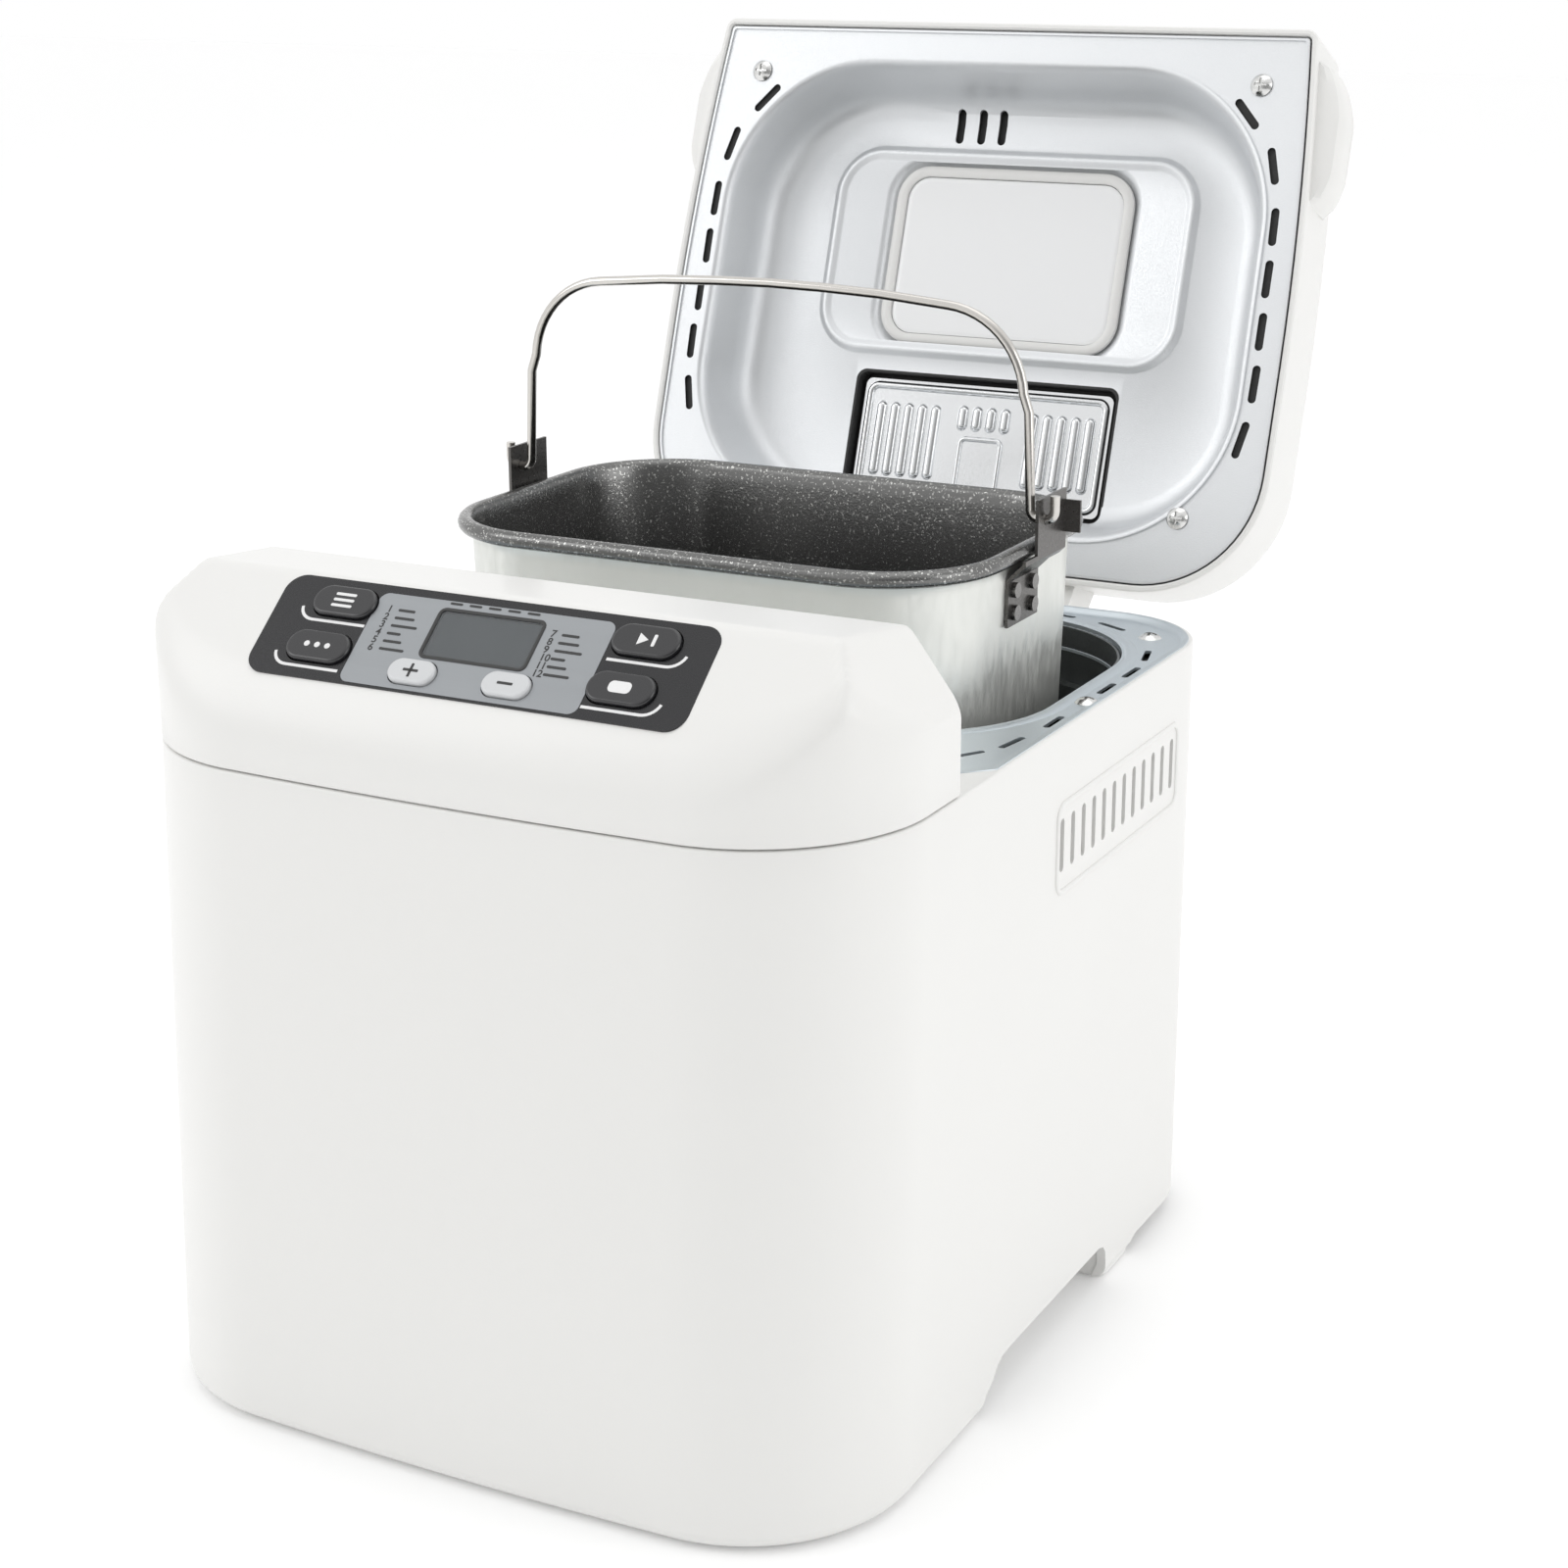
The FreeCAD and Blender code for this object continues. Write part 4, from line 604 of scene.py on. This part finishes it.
def figures(text, x, y):
    """A printed number on the panel, as a mesh."""
    curve = bpy.data.curves.new("figure", "FONT")
    curve.body, curve.size, curve.extrude, curve.offset = text, FIGURE_SIZE, 0.04, 0.05
    curve.align_x, curve.align_y = "LEFT", "CENTER"
    carrier = bpy.data.objects.new("figure", curve)
    bpy.context.scene.collection.objects.link(carrier)
    bpy.context.view_layer.update()
    mesh = bpy.data.meshes.new_from_object(carrier.evaluated_get(bpy.context.evaluated_depsgraph_get()))
    bpy.data.objects.remove(carrier)
    mesh.transform(PANEL @ Matrix.Translation((x, y, PRINT_Z)))
    piece = bpy.data.objects.new("figure", mesh)
    bpy.context.scene.collection.objects.link(piece)
    return piece


PRINT_Z, PRINT_HIGH, FIGURE_SIZE = 0.16, 0.08, 3.2
LIST_LEFT, LIST_RIGHT = (-33.6, -30.0, 9.0), (19.6, 23.0, 8.0)
LIST_PITCH, LIST_BARS = 2.6, (5.5, 6.5, 8.5, 4.5, 6.0, 8.0)


def panel_print():
    """Two numbered lists with bars for their words, the row above the display, its bezel and the arcs."""
    marks = Shape()
    for row, length in enumerate(LIST_BARS):
        for _, start, top in (LIST_LEFT, LIST_RIGHT):
            bar = capsule(start + length / 2, top - LIST_PITCH * row, length, 0.8, 0, 3)
            marks.prism(bar, PRINT_Z, PRINT_Z + PRINT_HIGH)
    for number in range(5):
        bar = capsule(-13.0 + 6.2 * number, 13.4, 4.0, 0.7, 0, 3)
        marks.prism(bar, PRINT_Z, PRINT_Z + PRINT_HIGH)
    profile = [(0.0, 0.1), (0.0, 0.3), (0.2, 0.42), (0.8, 0.42), (1.0, 0.3), (1.0, 0.1), (0.0, 0.1)]
    bezel = [level(rounded(16.2 + d, 7.5 + d, 1.2 + d, 0, 3.3, 4), z) for d, z in profile]
    marks.loft(bezel, False, False)
    sheet = marks.build("panel_marks", PANEL, [PRINT_BLACK])
    rows = []
    for row in range(len(LIST_BARS)):
        for first, (x, _, top) in ((1, LIST_LEFT), (7, LIST_RIGHT)):
            rows.append(figures(str(row + first), x, top - LIST_PITCH * row))
    absorb(sheet, *rows)
    finish_piece(sheet, "root", "component_plastic")
    arcs = Shape()
    for name, (x, y) in WIDE_KEYS.items():
        side = -1 if "left" in name else 1
        path = [(x - side * 9.5, y - 6.7)] + arc(x + side * 8.2, y - 1.7, 5.0, -90, side * 78, 7)
        line_strip(arcs, path, 0.45, 0.12, 0.2)
    finish_piece(arcs.build("panel_arcs", PANEL, [PRINT_WHITE]), "root", "key_silver")


def line_strip(shape, path, half, low, high):
    """A printed line of even width along a path."""
    left, right = [], []
    for i, (x, y) in enumerate(path):
        before, after = path[max(i - 1, 0)], path[min(i + 1, len(path) - 1)]
        along = Vector((after[0] - before[0], after[1] - before[1])).normalized()
        left.append((x - along.y * half, y + along.x * half))
        right.append((x + along.y * half, y - along.x * half))
    count = len(path)
    verts = [(a, b, z) for z in (low, high) for a, b in left + right]
    faces = []
    for i in range(count - 1):
        a, b, c, d = i, i + 1, count + i + 1, count + i
        up = 2 * count
        faces += [(a, d, c, b), (a + up, b + up, c + up, d + up), (a, b, b + up, a + up),
                  (d, d + up, c + up, c)]
    last = count - 1
    faces += [(0, 2 * count, 3 * count, count), (last, count + last, 3 * count + last, 2 * count + last)]
    shape.add(verts, faces)


def key_marks():
    """Plain signs on the keys: bars, dots, a wedge and bar, a block, plus and minus."""
    signs = {
        "upper_left": [rounded(3.4, 0.45, 0.4, 0, y, 3) for y in (-1.9, 0, 1.9)],
        "lower_left": [capsule(x, 0, 1.8, 1.8, 0, 5) for x in (-3.4, 0, 3.4)],
        "upper_right": [[(-2.1, -1.9), (0.9, 0), (-2.1, 1.9)], rounded(0.5, 1.9, 0.3, 2.7, 0, 3)],
        "lower_right": [rounded(3.4, 1.8, 1.4, 0, 0, 5)],
        "plus": [rounded(2.4, 0.4, 0.2, 0, 0, 3), rounded(0.4, 2.2, 0.2, 0, 0, 3)],
        "minus": [rounded(2.4, 0.4, 0.2, 0, 0, 3)]}
    for keys, ink in ((WIDE_KEYS, PRINT_WHITE), (OVAL_KEYS, PRINT_BLACK)):
        for name, (x, y) in keys.items():
            shape = Shape()
            for outline in signs[name]:
                placed = [(a + x, b + y) for a, b in outline]
                shape.prism(placed, KEY_TOP - SIGN_SUNK, KEY_TOP + SIGN_PROUD)
            finish_piece(shape.build("sign_" + name, PANEL, [ink]), "button_" + name, "key_silver")


# ---- deck ------------------------------------------------------------------------------------
def deck_lip():
    """The rolled edge of the deck round the mouth, and the step below it."""
    hx, hy, corner, y = MOUTH
    profile = [(5.0, DECK_Z + 0.02), (4.2, DECK_Z + 0.35), (3.2, DECK_Z + 0.6), (2.0, DECK_Z + 0.5),
               (1.0, DECK_Z + 0.05), (0.3, DECK_Z - 0.8), (0.0, DECK_Z - 2.0), (-0.1, DECK_Z - 7.5),
               (-1.6, DECK_Z - 8.3), (-1.7, DECK_Z - 9.2), (0.4, DECK_Z - 9.2), (1.6, DECK_Z - 8),
               (1.6, DECK_Z - 1.2), (5.0, DECK_Z - 0.4)]
    rings = [level(rounded(hx + d - 1.0, hy + d - 1.0, corner + d - 1.0, 0, y, 24), z) for d, z in profile]
    rings.append(rings[0])
    piece = Shape().loft(rings, False, False).build("deck_lip", LAYOUT, [DECK])
    finish_piece(piece, "root", "aluminised_steel")


def deck_plan(inset, front):
    """The deck's plan: a straight front edge with its two corners cut off."""
    outline = deck_outline(inset, front)
    edge = outline[0][0]
    return [(edge, front + 8), *outline[1:-1], (-edge, front + 8), (8 - edge, front), (edge - 8, front)]


def deck_edge():
    """The deck's formed edge, which laps over the casing's rim, and a dark sheet under the slots as painted shade.
    """
    profile = [(1.4, 200.03), (1.5, 200.25), (2.5, 200.3), (3.3, 199.6), (4.2, 198.75), (5.6, 198.63),
               (5.6, 198.5), (3.3, 198.5), (2.8, 199.9)]
    rings = [level(deck_plan(inset, DECK_FRONT + inset - 1.2), z) for inset, z in profile]
    edge = Shape().loft(rings + rings[:1], False, False).build("deck_edge", LAYOUT, [DECK], 50)
    finish_piece(edge, "root", "aluminised_steel")
    # A dark sheet under the deck's slots: painted shade seen through them.
    deck_shade = Shape().prism(deck_plan(DECK_RIM + 0.3, DECK_FRONT + 1), DECK_Z - 3.4, DECK_Z - 2.6)
    deck_shade = deck_shade.build("deck_slot_painted_shade", LAYOUT, [RUBBER_AND_SHADE])
    mouth = rounded(MOUTH[0] + 1.2, MOUTH[1] + 1.2, MOUTH[2] + 1.2, 0, MOUTH[3])
    combine(deck_shade, Shape().prism(mouth, DECK_Z - 9, DECK_Z + 5).build("tool", LAYOUT, [RUBBER_AND_SHADE]))
    finish_piece(deck_shade, "root", "foot_rubber")


# ---- lid -------------------------------------------------------------------------------------
def taper(y):
    """The lid narrows towards its front."""
    share = min(1.0, max(0.0, (LID_ZERO - y - 80.0) / 117.0))
    return 1.0 - 0.055 * share ** 2


def lid_outline(inset, w):
    """The shut lid's plan at a height above its rim: two wide rear corners and two tight front ones."""
    narrow = 3.5 * w / LID_DEPTH
    half = LID_HALF - inset - narrow
    front, rear = LID_ZERO - LID_LENGTH + inset, LID_ZERO - 0.5 - inset
    big, small = LID_REAR_CORNER - inset, max(LID_FRONT_CORNER - inset, 1.2)
    side = [(half, front + small + (rear - big - front - small) * i / 12) for i in range(1, 12)]
    points = side + arc(half - big, rear - big, big, 0, 90, 16) \
        + arc(-(half - big), rear - big, big, 90, 90, 16) + [(-x, y) for x, y in reversed(side)] \
        + arc(-(half - small), front + small, small, 180, 90, 8) \
        + arc(half - small, front + small, small, 270, 90, 8)
    return [(x * taper(y), y) for x, y in points]


def lid_ring(inset, w):
    return level(lid_outline(inset, w), LID_BASE + w)


def well_ring(inset, w):
    hx, hy, corner, v = WELL
    points = rounded(hx - inset, hy - inset, corner - inset, 0, LID_ZERO - v, RING_STEPS)
    return level([(x * (0.6 * taper(y) + 0.4), y) for x, y in points], LID_BASE + w)


def oval_ring(half_x, half_y, corner, v, w):
    return level(rounded(half_x, half_y, corner, 0, LID_ZERO - v, RING_STEPS), LID_BASE + w)


ARM_X, ARM_HALF = 49.0, 5.7
WINDOW = (43.2, 29.6, 9.0, 118.0)
BORDER = (69.3, 36.3, 16.0, 118.7)
VENT = (51.8, 24.6, 49.3)
# Each slot's distance from the middle, from the hinge side, and its turn from the lid's width.
LINER_SLOTS = [(92.8, 167.5, 48), (104.8, 150.0, 75), (108.2, 129.3, 88), (108.7, 111.4, 90),
               (109.2, 93.4, 90), (109.6, 75.4, 91), (107.7, 56.1, 102)]


def lid_casing():
    """The lid's white shell, open below, with its window, vents, grips and hinge arms."""
    rings = [lid_ring(2.6, LID_DEPTH - 3), lid_ring(2.6, 1.6), lid_ring(2.3, 0.3), lid_ring(1.7, -0.2),
             lid_ring(0.7, -0.2), lid_ring(0.15, 0.3), lid_ring(0, 1.2), lid_ring(0, 12), lid_ring(0, 24)]
    for run, rise in quarter(LID_ROUND, 8):
        rings.append(lid_ring(run, LID_DEPTH - LID_ROUND + rise))
    casing = Shape().loft(rings).build("lid_casing", OPENED, [WHITE])
    cuts = Shape()
    hx, hy, corner, v = WINDOW
    cuts.prism(rounded(hx + 3, hy + 3, corner + 1, 0, LID_ZERO - v), LID_BASE + 30, LID_BASE + 50)
    for number in range(9):
        cuts.prism(capsule(-32 + 8 * number, LID_ZERO - VENT[2], 26, 2.6, 90), LID_BASE + 30, LID_BASE + 50)
    combine(casing, cuts.build("tool", OPENED, [WHITE]))
    extras = Shape()
    for side in (-1, 1):
        grip(extras, side)
        hinge_arm(extras, side * ARM_X)
    absorb(casing, extras.build("extras", OPENED, [WHITE]))
    return finish_piece(casing, "lid", "white_plastic", "lid_shell", "lid_arms")


def grip(shape, side):
    """A finger wing: a rounded fin that swells from the lid's side."""
    rows = []
    steps = 18
    for i in range(steps + 1):
        share = i / steps
        y = LID_ZERO - 188 + 50 * share
        out = 10.0 * math.sin(math.pi * share) ** 0.45 if 0 < share < 1 else 0.0
        base = (LID_HALF - 2.2) * taper(y)
        reach = min(base + 1.0 + out, 125.3)
        section = []
        for a, b in ((0, 3), (0.6, 3.2), (0.88, 4.6), (1, 7), (1, 19), (0.88, 22.5), (0.55, 25), (0, 27)):
            section.append((side * (base + (reach - base) * a), y, LID_BASE + b))
        rows.append(section)
    shape.loft(rows)


def hinge_arm(shape, x):
    """An arm from the lid's rear face round the hinge pin."""
    y, z = (HINGE.y - SHAFT_Y) / MM, HINGE.z / MM
    outline = [(LID_ZERO - 1.5, LID_BASE + 5), (LID_ZERO - 1.5, LID_BASE + 25), (y - 8, LID_BASE + 19),
               (y - 1, LID_BASE + 9)] + arc(y, z, 6.4, 60, -190, 14) + [(y - 6.4, z + 12)]
    shape.prism(outline, x - ARM_HALF, x + ARM_HALF, "x")


def lid_lining():
    """The liner: a flange cut from a plate, and the pressed bowl with its border and window recess."""
    rings = [lid_ring(3.0, 1.2), lid_ring(3.0, 0.5), lid_ring(3.3, 0.2), lid_ring(4.0, 0.15),
             lid_ring(4.0, 0.9)]
    lining = Shape().loft(rings).build("lid_lining", OPENED, [LINER])
    hole = Shape().loft([well_ring(-1.7, -3), well_ring(-1.7, 5)]).build("tool", OPENED, [LINER])
    combine(lining, hole)
    cup = Shape()
    profile = [(-2.6, 0.14), (-2.0, 0.12), (-1.3, 0.3), (-0.5, 1.1), (0.3, 2.4), (0.9, 4.5), (3.6, 16.0),
               (5.0, 20.5), (7.2, 24.2), (10.5, 26.4), (14.0, 27.0)]
    rings = [well_ring(inset, w) for inset, w in profile]
    back = [well_ring(inset - 0.7, w + 0.8) for inset, w in reversed(profile[2:])]
    floor = [oval_ring(BORDER[0] + d, BORDER[1] + d, BORDER[2] + d, BORDER[3], w)
             for d, w in ((3.0, 27.0), (2.2, 26.7), (1.2, 25.6), (0.2, 25.3), (-0.8, 25.4), (-1.8, 26.0),
                          (-2.8, 26.2))]
    recess = [oval_ring(WINDOW[0] + d, WINDOW[1] + d, WINDOW[2] + d, WINDOW[3], w)
              for d, w in ((7.5, 26.2), (6.3, 26.5), (5.2, 27.6), (4.6, 28.6), (3.8, 29.2), (2.4, 29.4),
                           (0.0, 29.4), (0.0, 30.2), (4.6, 30.2))]
    under = [oval_ring(BORDER[0] + 3.0, BORDER[1] + 3.0, BORDER[2] + 3.0, BORDER[3], 27.9)]
    cup.loft(rings + floor + recess + under + back + [rings[0]], False, False)
    bowl = cup.build("bowl", OPENED, [LINER])
    cuts = Shape()
    cuts.prism(rounded(VENT[0], VENT[1], 3, 0, LID_ZERO - VENT[2]), LID_BASE + 23, LID_BASE + 32)
    for u in (-24.8, -16.2, -8.1):
        cuts.prism(capsule(u, LID_ZERO - 165.8, 12.5, 3.2, 90), LID_BASE + 22, LID_BASE + 32)
    combine(bowl, cuts.build("tool", OPENED, [LINER]))
    slots = Shape()
    for u, v, turn in LINER_SLOTS:
        for side in (-1, 1):
            slots.prism(capsule(side * u, LID_ZERO - v, 13.0, 2.9, side * turn), LID_BASE - 2, LID_BASE + 4)
    combine(lining, slots.build("tool", OPENED, [LINER]))
    absorb(lining, bowl)
    return finish_piece(lining, "lid", "aluminised_steel", "lid_liner")


def window_panes():
    """The inner pane in its recess, the light frame round it, and the outer pane in the lid's top."""
    hx, hy, corner, v = WINDOW
    panes = Shape()
    panes.loft([oval_ring(hx - d, hy - d, corner - d, v, w)
                for d, w in ((0.6, 29.2), (0.6, 28.6), (1.6, 28.3), (2.4, 28.3))])
    panes.loft([oval_ring(hx + d, hy + d, corner + d, v, w)
                for d, w in ((2.7, LID_DEPTH - 2.6), (2.7, LID_DEPTH - 0.9), (2.0, LID_DEPTH - 0.4))])
    finish_piece(panes.build("window_panes", OPENED, [FROST]), "lid", "window_glass", "lid_windows")
    profile = [(-0.4, 28.25), (-0.2, 27.6), (0.8, 27.3), (2.6, 27.3), (3.4, 27.7), (3.6, 28.8), (-0.4, 28.8)]
    rings = [oval_ring(hx + d, hy + d, corner + d, v, w) for d, w in profile]
    frame_ring = Shape().loft(rings + rings[:1], False, False).build("window_frame", OPENED, [WHITE])
    finish_piece(frame_ring, "lid", "white_plastic")


def slot_shadow():
    """Painted shade: dark sheets behind the liner's slots and the vent slots, and a dark pocket behind the vent
    plate in place of the duct.
    """
    # A dark ring sheet behind the liner's slots, as painted shade.
    shape = Shape().loft([lid_ring(6.0, 2.2), lid_ring(6.0, 3.0)])
    liner_shade = shape.build("liner_slot_painted_shade", OPENED, [RUBBER_AND_SHADE])
    hole = Shape().loft([well_ring(-1.0, -3), well_ring(-1.0, 8)]).build("tool", OPENED, [RUBBER_AND_SHADE])
    combine(liner_shade, hole)
    finish_piece(liner_shade, "lid", "foot_rubber")
    # A dark sheet behind the three slots beside the vent, as painted shade.
    shade = Shape().prism(rounded(22, 9, 3, -16.5, LID_ZERO - 165.8), LID_BASE + 29.0, LID_BASE + 30.0)
    finish_piece(shade.build("vent_slot_painted_shade", OPENED, [RUBBER_AND_SHADE]), "lid", "foot_rubber")
    pocket = Shape()
    outer = [level(rounded(VENT[0] + d, VENT[1] + d, 4, 0, LID_ZERO - VENT[2]), LID_BASE + w)
             for d, w in ((0.3, 26.9), (0.3, 34), (-6, 34), (-6, 33.4), (-0.6, 33.4), (-0.6, 26.9),
                          (0.3, 26.9))]
    pocket.loft(outer, False, False)
    pocket.prism(rounded(VENT[0], VENT[1], 3, 0, LID_ZERO - VENT[2]), LID_BASE + 33.5, LID_BASE + 34.0)
    finish_piece(pocket.build("vent_pocket", OPENED, [RUBBER_AND_SHADE]), "lid", "foot_rubber", "vent_duct")


def rib(shape, outline_at, profile, base, closed=False):
    """A pressed rib: the outline at each (half-width, rise) of its section, risen from the sheet."""
    rings = [level(outline_at(half), base - rise) for half, rise in profile]
    shape.loft(rings + rings[:1] if closed else rings, not closed, not closed)


def vent_plate():
    """A stamped plate: a raised rim, rows of round-ended louvres and a square tab."""
    hx, hy = VENT[0] - 2.6, VENT[1] - 2.4
    centre = LID_ZERO - VENT[2]
    base = LID_BASE + 30.2
    shape = Shape().prism(rounded(hx, hy, 2.6, 0, centre), base, base + 0.8)
    bump = [(2.2, -0.3), (2.2, 0.0), (1.95, 0.3), (1.6, 0.85), (1.15, 1.25), (0.6, 1.45), (0.15, 1.5)]
    widest = 2 * bump[0][0]
    louvres = [(side * (19.5 + 5.5 * number), centre, 28.0) for side in (-1, 1) for number in range(5)]
    louvres += [(-8.4 + 5.6 * number, centre - 10.0, 9.5) for number in range(4)]
    for x, y, length in louvres:
        rib(shape, lambda half: capsule(x, y, length - widest + 2 * half, 2 * half, 90), bump, base)
    half_bead = [(0.3, 1.2), (0.9, 0.9), (1.4, 0.2), (1.5, -0.3)]
    ridge = [(-out, rise) for out, rise in reversed(half_bead)] + half_bead
    rib(shape, lambda out: rounded(hx - 2.4 + out, hy - 2.4 + out, 3.2 + out, 0, centre), ridge, base, True)
    edge = [(0.7 * out, 0.85 * rise) for out, rise in ridge]
    rib(shape, lambda out: rounded(8.0 + out, 9.5 + out, 2.0 + out, 0, centre + 7.0), edge, base, True)
    plate = shape.build("vent_plate", OPENED, [STAMPED], 50)
    hooks = Shape()
    for side in (-1, 1):
        hooks.prism(rounded(3, 5, 0.8, side * 45.5, centre), LID_BASE + 30.5, LID_BASE + 33.3)
    absorb(plate, hooks.build("hooks", OPENED, [STAMPED]))
    return finish_piece(plate, "lid", "louvre_steel", "vent_cover")


# ---- pan -------------------------------------------------------------------------------------
PAN_BEND, PAN_INNER_BEND, HUB = 7.0, 8.0, 8.0


def hub_ring(z):
    return level(rounded(HUB, HUB, HUB, 0, 0, RING_STEPS), z)


def pan_ring(z, inset=0.0):
    """The pan's plan at a height: it widens from its foot to its rim."""
    share = (z - (PAN_RIM_Z - PAN_HEIGHT)) / PAN_HEIGHT
    hx, hy, corner = [low + (high - low) * share - inset for low, high in zip(PAN_FOOT, PAN_TOP)]
    return level(rounded(hx, hy, corner, 0, 0, RING_STEPS), z)


def baking_pan():
    """The pan in one skin: outside, rolled rim and coated inside, each with its own material."""
    bottom, top = PAN_RIM_Z - PAN_HEIGHT, PAN_RIM_Z
    rings = [hub_ring(bottom), pan_ring(bottom, PAN_BEND)]
    for _, rise in quarter(PAN_BEND, 6)[1:]:
        up = PAN_BEND - math.sqrt(max(0.0, PAN_BEND ** 2 - rise ** 2))
        rings.append([(x, y, bottom + up) for x, y, _ in pan_ring(bottom, PAN_BEND - rise)])
    rings += [pan_ring(z) for z in (bottom + 40, bottom + 90, top - 9.0, top - 6.4)]
    marks = [0] * (len(rings) + 1)
    bead_z = top - ROLL
    for turn in range(-110, 181, 29):
        angle = math.radians(turn)
        across, up = ROLL * math.cos(angle), ROLL * math.sin(angle)
        rings.append([(x, y, bead_z + up) for x, y, _ in pan_ring(bead_z, -1.9 - across)])
        marks.append(2)
    rings += [pan_ring(z, PAN_WALL) for z in (top - 6, bottom + 60, bottom + 10)]
    for run, rise in quarter(PAN_INNER_BEND, 6)[1:]:
        floor = bottom + PAN_WALL + PAN_INNER_BEND - rise
        rings.append([(x, y, floor) for x, y, _ in pan_ring(bottom + 10, PAN_WALL + run)])
    rings.append(hub_ring(bottom + PAN_WALL))
    marks += [1] * (len(rings) - len(marks))
    rings.append(rings[0])
    pan = Shape().loft(rings, False, False, marks).build("baking_pan", LAYOUT, [PAN_OUT, PAN_IN, PAN_RIM], 50)
    return finish_piece(pan, "pan", "pan_aluminium", "pan_shell")


def bail_wire():
    """The bail: wire with round shoulders, a slightly crowned top and hooked ends."""
    curve = bpy.data.curves.new("bail_wire", "CURVE")
    curve.dimensions, curve.bevel_depth, curve.bevel_resolution = "3D", BAIL_WIRE * MM, 5
    curve.use_fill_caps, curve.resolution_u = True, 10
    leg, shoulder, radius = 89.0, 86.0, 27.0
    right = [(97.0, BAIL_Z + 7.5), (97.0, BAIL_Z + 3.0)] + arc(94.0, BAIL_Z + 3.0, 3.0, 0, -90, 5)[1:] \
        + arc(92.0, BAIL_Z + 3.0, 3.0, -90, -85, 5)[1:] + [(leg - 1.2, BAIL_Z + 32)] \
        + arc(shoulder - radius, BAIL_TOP - radius - 1.0, radius, 4, 82, 12)
    top = [(38.0, BAIL_TOP + 0.9), (18.0, BAIL_TOP + 1.7)]
    line = right + top + [(0.0, BAIL_TOP + 2.0)] + [(-x, z) for x, z in reversed(right + top)]
    spline = curve.splines.new("POLY")
    spline.points.add(len(line) - 1)
    for point, (x, z) in zip(spline.points, line):
        place = LAYOUT @ Vector((x, 0, z))
        point.co = (*place, 1)
    curve.materials.append(CHROME)
    carrier = bpy.data.objects.new("bail_wire", curve)
    bpy.context.scene.collection.objects.link(carrier)
    bpy.context.view_layer.update()
    mesh = bpy.data.meshes.new_from_object(carrier.evaluated_get(bpy.context.evaluated_depsgraph_get()))
    bpy.data.objects.remove(carrier)
    piece = bpy.data.objects.new("bail_wire", mesh)
    bpy.context.scene.collection.objects.link(piece)
    soften(piece, 50)
    return finish_piece(piece, "bail", "chrome_wire", "bail_handle")


# ---- stage -----------------------------------------------------------------------------------
def area_light(name, place, aim, size, power):
    data = bpy.data.lights.new(name, "AREA")
    data.shape, data.size, data.energy = "SQUARE", size, power
    lamp = bpy.data.objects.new(name, data)
    lamp.location = place
    lamp.rotation_mode = "QUATERNION"
    lamp.rotation_quaternion = (Vector(aim) - Vector(place)).to_track_quat("-Z", "Y")
    bpy.context.scene.collection.objects.link(lamp)


def shade_sky(tree, sky):
    """White all round, with a darker sector in front of the body's nearest corner, as a flag gives."""
    place = tree.nodes.new("ShaderNodeTexCoord")
    dot = tree.nodes.new("ShaderNodeVectorMath")
    dot.operation = "DOT_PRODUCT"
    bearing = math.radians(38.0)
    dot.inputs[1].default_value = (math.sin(bearing), -math.cos(bearing), 0.0)
    tree.links.new(place.outputs["Generated"], dot.inputs[0])
    ramp = tree.nodes.new("ShaderNodeMapRange")
    ramp.interpolation_type = "SMOOTHSTEP"
    ramp.inputs["From Min"].default_value, ramp.inputs["From Max"].default_value = 0.55, 0.98
    ramp.inputs["To Min"].default_value, ramp.inputs["To Max"].default_value = 1.0, 0.35
    tree.links.new(dot.outputs["Value"], ramp.inputs["Value"])
    tree.links.new(ramp.outputs["Result"], sky.inputs["Strength"])


def make_stage():
    """A pale floor that glows a little, a white sky and three soft lights."""
    mesh = bpy.data.meshes.new("floor")
    reach = 6.0
    mesh.from_pydata([(-reach, -reach, 0), (reach, -reach, 0), (reach, reach, 0), (-reach, reach, 0)], [],
                     [(0, 1, 2, 3)])
    mesh.materials.append(surface("floor", (0.9, 0.9, 0.9), 0.6, grain=60, bump=0.01, vary=0.004))
    glow = mesh.materials[0].node_tree.nodes["Principled BSDF"]
    glow.inputs["Emission Color"].default_value = (1, 1, 1, 1)
    glow.inputs["Emission Strength"].default_value = 0.12
    floor = bpy.data.objects.new("floor", mesh)
    bpy.context.scene.collection.objects.link(floor)
    world = bpy.data.worlds.new("studio")
    bpy.context.scene.world = world
    world.use_nodes = True
    sky = world.node_tree.nodes["Background"]
    sky.inputs["Color"].default_value = (1, 1, 1, 1)
    shade_sky(world.node_tree, sky)
    area_light("key", (-1.6, -1.3, 1.5), (0, -0.1, 0.15), 1.2, 8)
    area_light("fill", (1.9, -0.1, 0.9), (0, 0, 0.2), 1.2, 6)
    area_light("top", (0.1, 0.2, 2.2), (0, 0, 0.2), 1.6, 5)
    bpy.context.scene.view_settings.view_transform = "Standard"


dress_nodes()
body_casing()
rear_feet()
housing_casing()
panel_print()
key_marks()
deck_lip()
deck_edge()
lid_casing()
lid_lining()
window_panes()
slot_shadow()
vent_plate()
baking_pan()
bail_wire()
make_stage()
